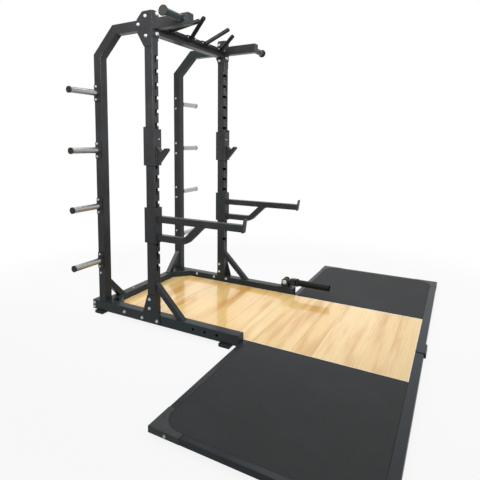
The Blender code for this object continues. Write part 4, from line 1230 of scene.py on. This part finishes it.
def build_wings():
    """Steel frames, the mats in them, and the front lock block. A corner piece runs from a quarter
    circle inside to the square corner outside, along the spokes of that circle."""
    look = bpy.context.scene.rack_platform
    x_in, x_out = MAT_LOW[0], WING_HIGH[0]
    y_front, y_back = WING_LOW[1], WING_HIGH[1]
    low, top = FRAME_UNDER, WING_HIGH[2]
    gap = 0.001
    mx, my0, my1 = MAT_HIGH[0] + gap / 2, MAT_LOW[1] - gap / 2, MAT_HIGH[1] + gap / 2
    r = look.mat_corner + gap / 2
    front_joint = 0.095         # the front bars meet this far left of the middle
    seam, lead, stand = 0.0012, 0.024, 0.0014
    for side in (1, -1):
        label = side_name(side)
        parts, corners = [], []
        a = np.radians(np.linspace(-90, 0, 15))
        for cy, turn, edge_y in ((my0 + r, 1, y_front), (my1 - r, -1, y_back)):
            cx = mx - r
            inner = np.stack([cx + r * np.cos(a), cy + turn * r * np.sin(a)], -1)
            way = np.stack([np.cos(a), turn * np.sin(a)], -1)
            far_x = (x_out - cx) / np.maximum(way[:, 0], 1e-9)
            far_y = (edge_y - cy) / np.where(np.abs(way[:, 1]) < 1e-9, 1e-9 * turn * -1, way[:, 1])
            reach = np.minimum(far_x, np.abs(far_y))
            outer = np.array([cx, cy]) + way * reach[:, None]
            hit = int(np.argmin(np.hypot(outer[:, 0] - x_out, outer[:, 1] - edge_y)))
            outer[hit] = (x_out, edge_y)
            outer[:, 1] = np.where(np.abs(outer[:, 1] - edge_y) < 1e-6, edge_y - turn * stand, outer[:, 1])
            outer[:, 0] = np.where(np.abs(outer[:, 0] - x_out) < 1e-6, x_out + stand, outer[:, 0])
            led = [np.concatenate([[line[0] - (lead, 0)], line, [line[-1] + (0, turn * lead)]])
                   for line in (inner, outer)]
            corners.append(strip(*led, low, top + stand / 2))
        c0, c1 = my0 + r + lead + seam, my1 - r - lead - seam
        parts.append(strip([(mx, c0), (mx, c1)], [(x_out, c0), (x_out, c1)], low, top - 0.0006))
        ends = mx - r - lead - seam
        reach = x_in - 0.0005
        parts.append(strip([(ends, my1), (reach, my1)], [(ends, y_back), (reach, y_back)], low,
                           top - 0.0006))
        far = -front_joint * side + GAP
        parts.append(strip([(ends, my0), (far, my0)], [(ends, y_front), (far, y_front)],
                           low, top - 0.0006))
        pan = rectangle(x_in, x_out - 0.010, y_front + 0.010, y_back - 0.010)
        parts.append(slab(eased(pan, 0.02), 2, low, low + 0.0028, 0.0002))
        for px in (x_in + 0.0995, x_out - 0.10):
            for py in (y_back - 0.09, y_front + 0.09):
                parts.append(block((px - 0.03, px + 0.03), (py - 0.03, py + 0.03), (0, low + 0.001), 2,
                                   0.006, 0.002))
        wing = solid(f"mat_frame_{label}", parts, side)
        dressed(wing, finish_named("frame coat"),
                nodes=[f"wing_frame_{label}"])
        dressed(solid(f"mat_frame_corners_{label}", corners, side), finish_named("corner"))
        mr = look.mat_corner
        plan = [(MAT_LOW[0], MAT_HIGH[1]), (MAT_LOW[0], MAT_LOW[1]), (MAT_HIGH[0], MAT_LOW[1]),
                (MAT_HIGH[0], MAT_HIGH[1])]
        outline = eased(plan, np.array([0.002, 0.002, mr, mr]), 16)
        mat = solid(f"mat_{label}", [slab(outline, 2, MAT_LOW[2], MAT_HIGH[2], 0.0022, 3)], side)
        dressed(mat, finish_named("mat"), nodes=[f"rubber_mat_{label}"])
    l_low, l_high = limits("front_lock_block")
    y, cap = l_high[1], l_high[2]
    face = WING_LOW[1] - GAP
    outline = [(face, l_low[2]), (l_low[1], l_low[2]), (l_low[1], cap - 0.004), (l_low[1] + 0.004, cap),
               (y, cap), (y, DECK_HIGH[2] + GAP), (face, DECK_HIGH[2] + GAP)]
    plate = slab(eased(outline, 0.0008, 2), 0, l_low[0], l_high[0], 0.001)
    dressed(solid("lock_block", [plate]), finish_named("frame coat"),
            nodes=["front_lock_block"])


def build_fasteners():
    """Zinc-plated bolts, one object for each joint that they hold together: a turned washer under
    a hexagon head."""
    size = bpy.context.scene.rack_fasteners
    plate = limits("top_gusset_right")[1][0]
    flange = limits("horn_mount_right_1")[0][0] + FLANGE
    beam = BEAM_HIGH[0] - FLANGE
    out, inward, ahead, up = (1, 0, 0), (-1, 0, 0), (0, -1, 0), (0, 0, 1)
    pairs = [z + d for z in HORN_LEVELS for d in (-0.052, 0.052)]
    groups = {
        "top_gusset_bolts": (1.0, [(plate, TUBE - 0.0195, TOP - 0.037, out),
                                   (plate, TUBE + 0.0477, TOP_TUBE - 0.035, out),
                                   (plate, TUBE - 0.0227, TOP - 0.180, out)]),
        "base_gusset_bolts": (1.0, [(plate, TUBE - 0.026, RAIL_TOP + 0.119, out),
                                    (plate, TUBE - 0.024, RAIL_TOP + 0.045, out),
                                    (plate, TUBE + 0.051, 0.060, out),
                                    (plate, -0.021, 0.060, out)]),
        "upright_bolts": (1.0, [(IN, TUBE - 0.026, RAIL_TOP + 0.119, inward),
                                (IN, TUBE - 0.024, RAIL_TOP + 0.045, inward)]),
        "rail_bolts": (1.0, [(OUT, 0.316, 0.066, out), (OUT, 0.651, 0.082, out),
                             (OUT, 0.651, 0.047, out), (RAIL_LOW[0], 0.311, 0.087, inward),
                             (RAIL_LOW[0], 0.107, 0.087, inward),
                             (RAIL_LOW[0], -0.031, 0.087, inward)]),
        "arm_bolts": (1.22, [(MID - 0.010, -0.0083, z, ahead) for z in (TOP - 0.019, TOP - 0.164)]),
        "beam_bolts": (1.0, [(beam, TUBE - 0.0195, TOP - 0.037, inward),
                             (beam, TUBE - 0.0227, TOP - 0.185, inward)]),
        "horn_bolts": (0.78, [(flange, HORN_Y + 0.008, z, out) for z in pairs]
                       + [(IN, HORN_Y + 0.005, z, inward) for z in pairs]
                       + [(OUT, HORN_Y + 0.006, 0.355, out)]),
        "handle_bolts": (0.5, [(x + d, -0.0363, STRIP + STRIP_HEIGHT / 2, ahead)
                               for x in (INNER_HANDLE, OUTER_HANDLE) for d in (-0.054, 0.054)]),
        "member_bolts": (0.7, [(0.2, MEMBER_HIGH[1] - 0.040, RAIL_TOP, up)]),
        "mat_frame_bolts": (0.7, [(WING_HIGH[0], -0.827, 0.030, out)]),
    }
    for side in (1, -1):
        for name, (scale, places) in groups.items():
            parts = [shape for x, y, z, way in places for shape in bolt((x, y, z), way, size, scale)]
            dressed(solid(f"{name}_{side_name(side)}", parts, side), finish_named("zinc"))


CAMERA_PLACE = (-3.1937, -1.4062, 1.4585)
CAMERA_TURN = (90 - 5.527, 0, -59.29)       # degrees
CAMERA_SHIFT = (0.0709, -0.1186)


def shown_white(recipe):
    """1 for rays from the camera and from mirrors and glass, 0 for those that light the object."""
    path = recipe.tree.nodes.new("ShaderNodeLightPath")
    kinds = [Wire(recipe, path.outputs[f"Is {kind} Ray"]) for kind in ("Camera", "Glossy", "Transmission")]
    return (kinds[0] + kinds[1] + kinds[2]).math("MINIMUM", 1.0)


def build_stage():
    """Pale floor, soft lamps, even surroundings and the camera. The floor's glow is 0.88 near the
    rack, so that its shadow shows, and rises smoothly to 1 further off."""
    stage = bpy.context.scene.rack_stage
    scene = bpy.context.scene
    floor_mesh = bpy.data.meshes.new("floor")
    half, z = 30.0, -0.0005
    floor_mesh.from_pydata([(-half, -half, z), (half, -half, z), (half, half, z), (-half, half, z)],
                           [], [(0, 1, 2, 3)])
    floor = bpy.data.objects.new("floor", floor_mesh)
    scene.collection.objects.link(floor)
    r = Recipe("pale floor")
    place = r.place()
    tone = r.noise(place, 1.3, 2)
    r.finish(base_color=r.mix(tone * 0.1, (stage.floor,) * 3, (stage.floor * 0.9,) * 3),
             roughness=0.9, specular_ior_level=0.1)
    away = r.node("ShaderNodeVectorMath", {"operation": "LENGTH"}, {0: place}, "Value")
    seen = shown_white(r)
    glow = r.node("ShaderNodeEmission", {}, {"Color": (1, 1, 1), "Strength": 1.0})
    bright = 0.88 + away.ramp(1.9, 3.6) * 0.12
    mixed = r.node("ShaderNodeMixShader", {},
                   {0: seen * bright, 1: Wire(r, r.shader.outputs[0]), 2: glow})
    r.feed(r.tree.nodes["Material Output"].inputs["Surface"], mixed)
    floor_mesh.materials.append(r.material)
    world = bpy.data.worlds.new("soft surroundings")
    world.use_nodes = True
    r = Recipe(world=world)
    light = r.node("ShaderNodeBackground", {}, {"Color": (1, 1, 1), "Strength": stage.surround})
    white = r.node("ShaderNodeBackground", {}, {"Color": (1, 1, 1), "Strength": 1.0})
    mixed = r.node("ShaderNodeMixShader", {}, {0: shown_white(r), 1: light, 2: white})
    r.feed(r.tree.nodes["World Output"].inputs["Surface"], mixed)
    scene.world = world
    for name, place, aim, size, spread, power in (
            ("overhead lamp", (0.5, 0.5, 5.0), (0, -0.3, 0), 5.0, 180, stage.overhead),
            ("side lamp", (-2.4, -0.75, 2.75), (-0.5, 0.2, 2.35), 1.2, 105, stage.side),
            ("front lamp", (0.5, -5.0, 3.2), (0, 0, 1.8), 3.0, 120, stage.front),
            ("back lamp", (4.4, 3.2, 2.4), (0, 0.1, 0), 2.6, 180, stage.back),
            ("far lamp", (5.4, 0.6, 2.6), (0, -0.2, 0), 2.2, 180, stage.far),
            ("rear lamp", (-0.3, 2.75, 2.5), (0.45, 1.1, 0.2), 0.9, 70, stage.rear)):
        lamp = bpy.data.lights.new(name, "AREA")
        lamp.shape = "SQUARE"
        lamp.size = size
        lamp.spread = math.radians(spread)
        lamp.energy = power
        holder = bpy.data.objects.new(name, lamp)
        scene.collection.objects.link(holder)
        holder.visible_camera = False
        holder.location = place
        holder.rotation_euler = (Vector(aim) - Vector(place)).to_track_quat("-Z", "Y").to_euler()
    camera = bpy.data.objects.new("camera", bpy.data.cameras.new("camera"))
    scene.collection.objects.link(camera)
    camera.location = CAMERA_PLACE
    camera.rotation_euler = [math.radians(a) for a in CAMERA_TURN]
    camera.data.lens = stage.focal_length
    camera.data.sensor_width = 36.0
    camera.data.shift_x, camera.data.shift_y = CAMERA_SHIFT
    scene.camera = camera
    scene.view_settings.view_transform = "Standard"


# Operators

class RACK_OT_base(bpy.types.Operator):
    """Builds the base rails, their feet and the rear cross-member"""
    bl_idname = "rack.base"
    bl_label = "Base rails and feet"

    def execute(self, context):
        build_base()
        return {"FINISHED"}


class RACK_OT_uprights(bpy.types.Operator):
    """Builds the slotted front uprights and the bent rear frames"""
    bl_idname = "rack.uprights"
    bl_label = "Uprights and rear frames"

    def execute(self, context):
        build_uprights()
        return {"FINISHED"}


class RACK_OT_braces(bpy.types.Operator):
    """Builds the square tubes that prop the uprights"""
    bl_idname = "rack.braces"
    bl_label = "Braces"

    def execute(self, context):
        build_braces()
        return {"FINISHED"}


class RACK_OT_gussets(bpy.types.Operator):
    """Builds the bolted side plates of the front uprights"""
    bl_idname = "rack.gussets"
    bl_label = "Gusset plates"

    def execute(self, context):
        build_gussets()
        return {"FINISHED"}


class RACK_OT_beam(bpy.types.Operator):
    """Builds the chin-up beam, its handles, the front arms and their end grips"""
    bl_idname = "rack.beam"
    bl_label = "Chin-up beam and arms"

    def execute(self, context):
        build_beam()
        return {"FINISHED"}


class RACK_OT_horns(bpy.types.Operator):
    """Builds the plate storage horns"""
    bl_idname = "rack.horns"
    bl_label = "Plate horns"

    def execute(self, context):
        build_horns()
        return {"FINISHED"}


class RACK_OT_j_cups(bpy.types.Operator):
    """Builds the bar hooks with their liners"""
    bl_idname = "rack.j_cups"
    bl_label = "Bar hooks"

    def execute(self, context):
        build_j_cups()
        return {"FINISHED"}


class RACK_OT_spotters(bpy.types.Operator):
    """Builds the safety arms"""
    bl_idname = "rack.spotters"
    bl_label = "Safety arms"

    def execute(self, context):
        build_spotters()
        return {"FINISHED"}


class RACK_OT_landmine(bpy.types.Operator):
    """Builds the barbell pivot"""
    bl_idname = "rack.landmine"
    bl_label = "Barbell pivot"

    def execute(self, context):
        build_landmine()
        return {"FINISHED"}


class RACK_OT_deck(bpy.types.Operator):
    """Builds the deck's boards, edge band and core"""
    bl_idname = "rack.deck"
    bl_label = "Wood deck"

    def execute(self, context):
        build_deck()
        return {"FINISHED"}


class RACK_OT_wings(bpy.types.Operator):
    """Builds the mats, their frames and the front lock block"""
    bl_idname = "rack.wings"
    bl_label = "Mats and their frames"

    def execute(self, context):
        build_wings()
        return {"FINISHED"}


class RACK_OT_fasteners(bpy.types.Operator):
    """Builds the bolts and washers"""
    bl_idname = "rack.fasteners"
    bl_label = "Bolts"

    def execute(self, context):
        build_fasteners()
        return {"FINISHED"}


class RACK_OT_stage(bpy.types.Operator):
    """Builds the floor, the lamps, the surroundings and the camera"""
    bl_idname = "rack.stage"
    bl_label = "Stage"

    def execute(self, context):
        build_stage()
        return {"FINISHED"}


OPERATORS = [
    RACK_OT_base,
    RACK_OT_uprights,
    RACK_OT_braces,
    RACK_OT_gussets,
    RACK_OT_beam,
    RACK_OT_horns,
    RACK_OT_j_cups,
    RACK_OT_spotters,
    RACK_OT_landmine,
    RACK_OT_deck,
    RACK_OT_wings,
    RACK_OT_fasteners,
    RACK_OT_stage,
]


class RACK_PT_pieces(bpy.types.Panel):
    """Lists the pieces of the rack and their settings"""
    bl_label = "Squat rack"
    bl_idname = "RACK_PT_pieces"
    bl_space_type = "VIEW_3D"
    bl_region_type = "UI"
    bl_category = "Squat rack"

    def draw(self, context):
        for group in GROUPS:
            settings = getattr(context.scene, group)
            box = self.layout.box()
            for key in settings.__annotations__:
                box.prop(settings, key)
        for item in OPERATORS:
            self.layout.operator(item.bl_idname)


def register():
    """Registers the settings, the operators and the panel."""
    for name, group in GROUPS.items():
        bpy.utils.register_class(group)
        setattr(bpy.types.Scene, name, PointerProperty(type=group))
    for item in (*OPERATORS, RACK_PT_pieces):
        bpy.utils.register_class(item)


def unregister():
    """Takes them out again, in the opposite order."""
    for item in (RACK_PT_pieces, *reversed(OPERATORS)):
        bpy.utils.unregister_class(item)
    for name, group in reversed(GROUPS.items()):
        delattr(bpy.types.Scene, name)
        bpy.utils.unregister_class(group)


def main():
    """Builds every piece and the stage."""
    register()
    for item in OPERATORS:
        done = getattr(bpy.ops.rack, item.bl_idname.split(".")[1])()
        if "FINISHED" not in done:
            raise RuntimeError(f"{item.bl_label} was not made")


if __name__ == "__main__":
    main()
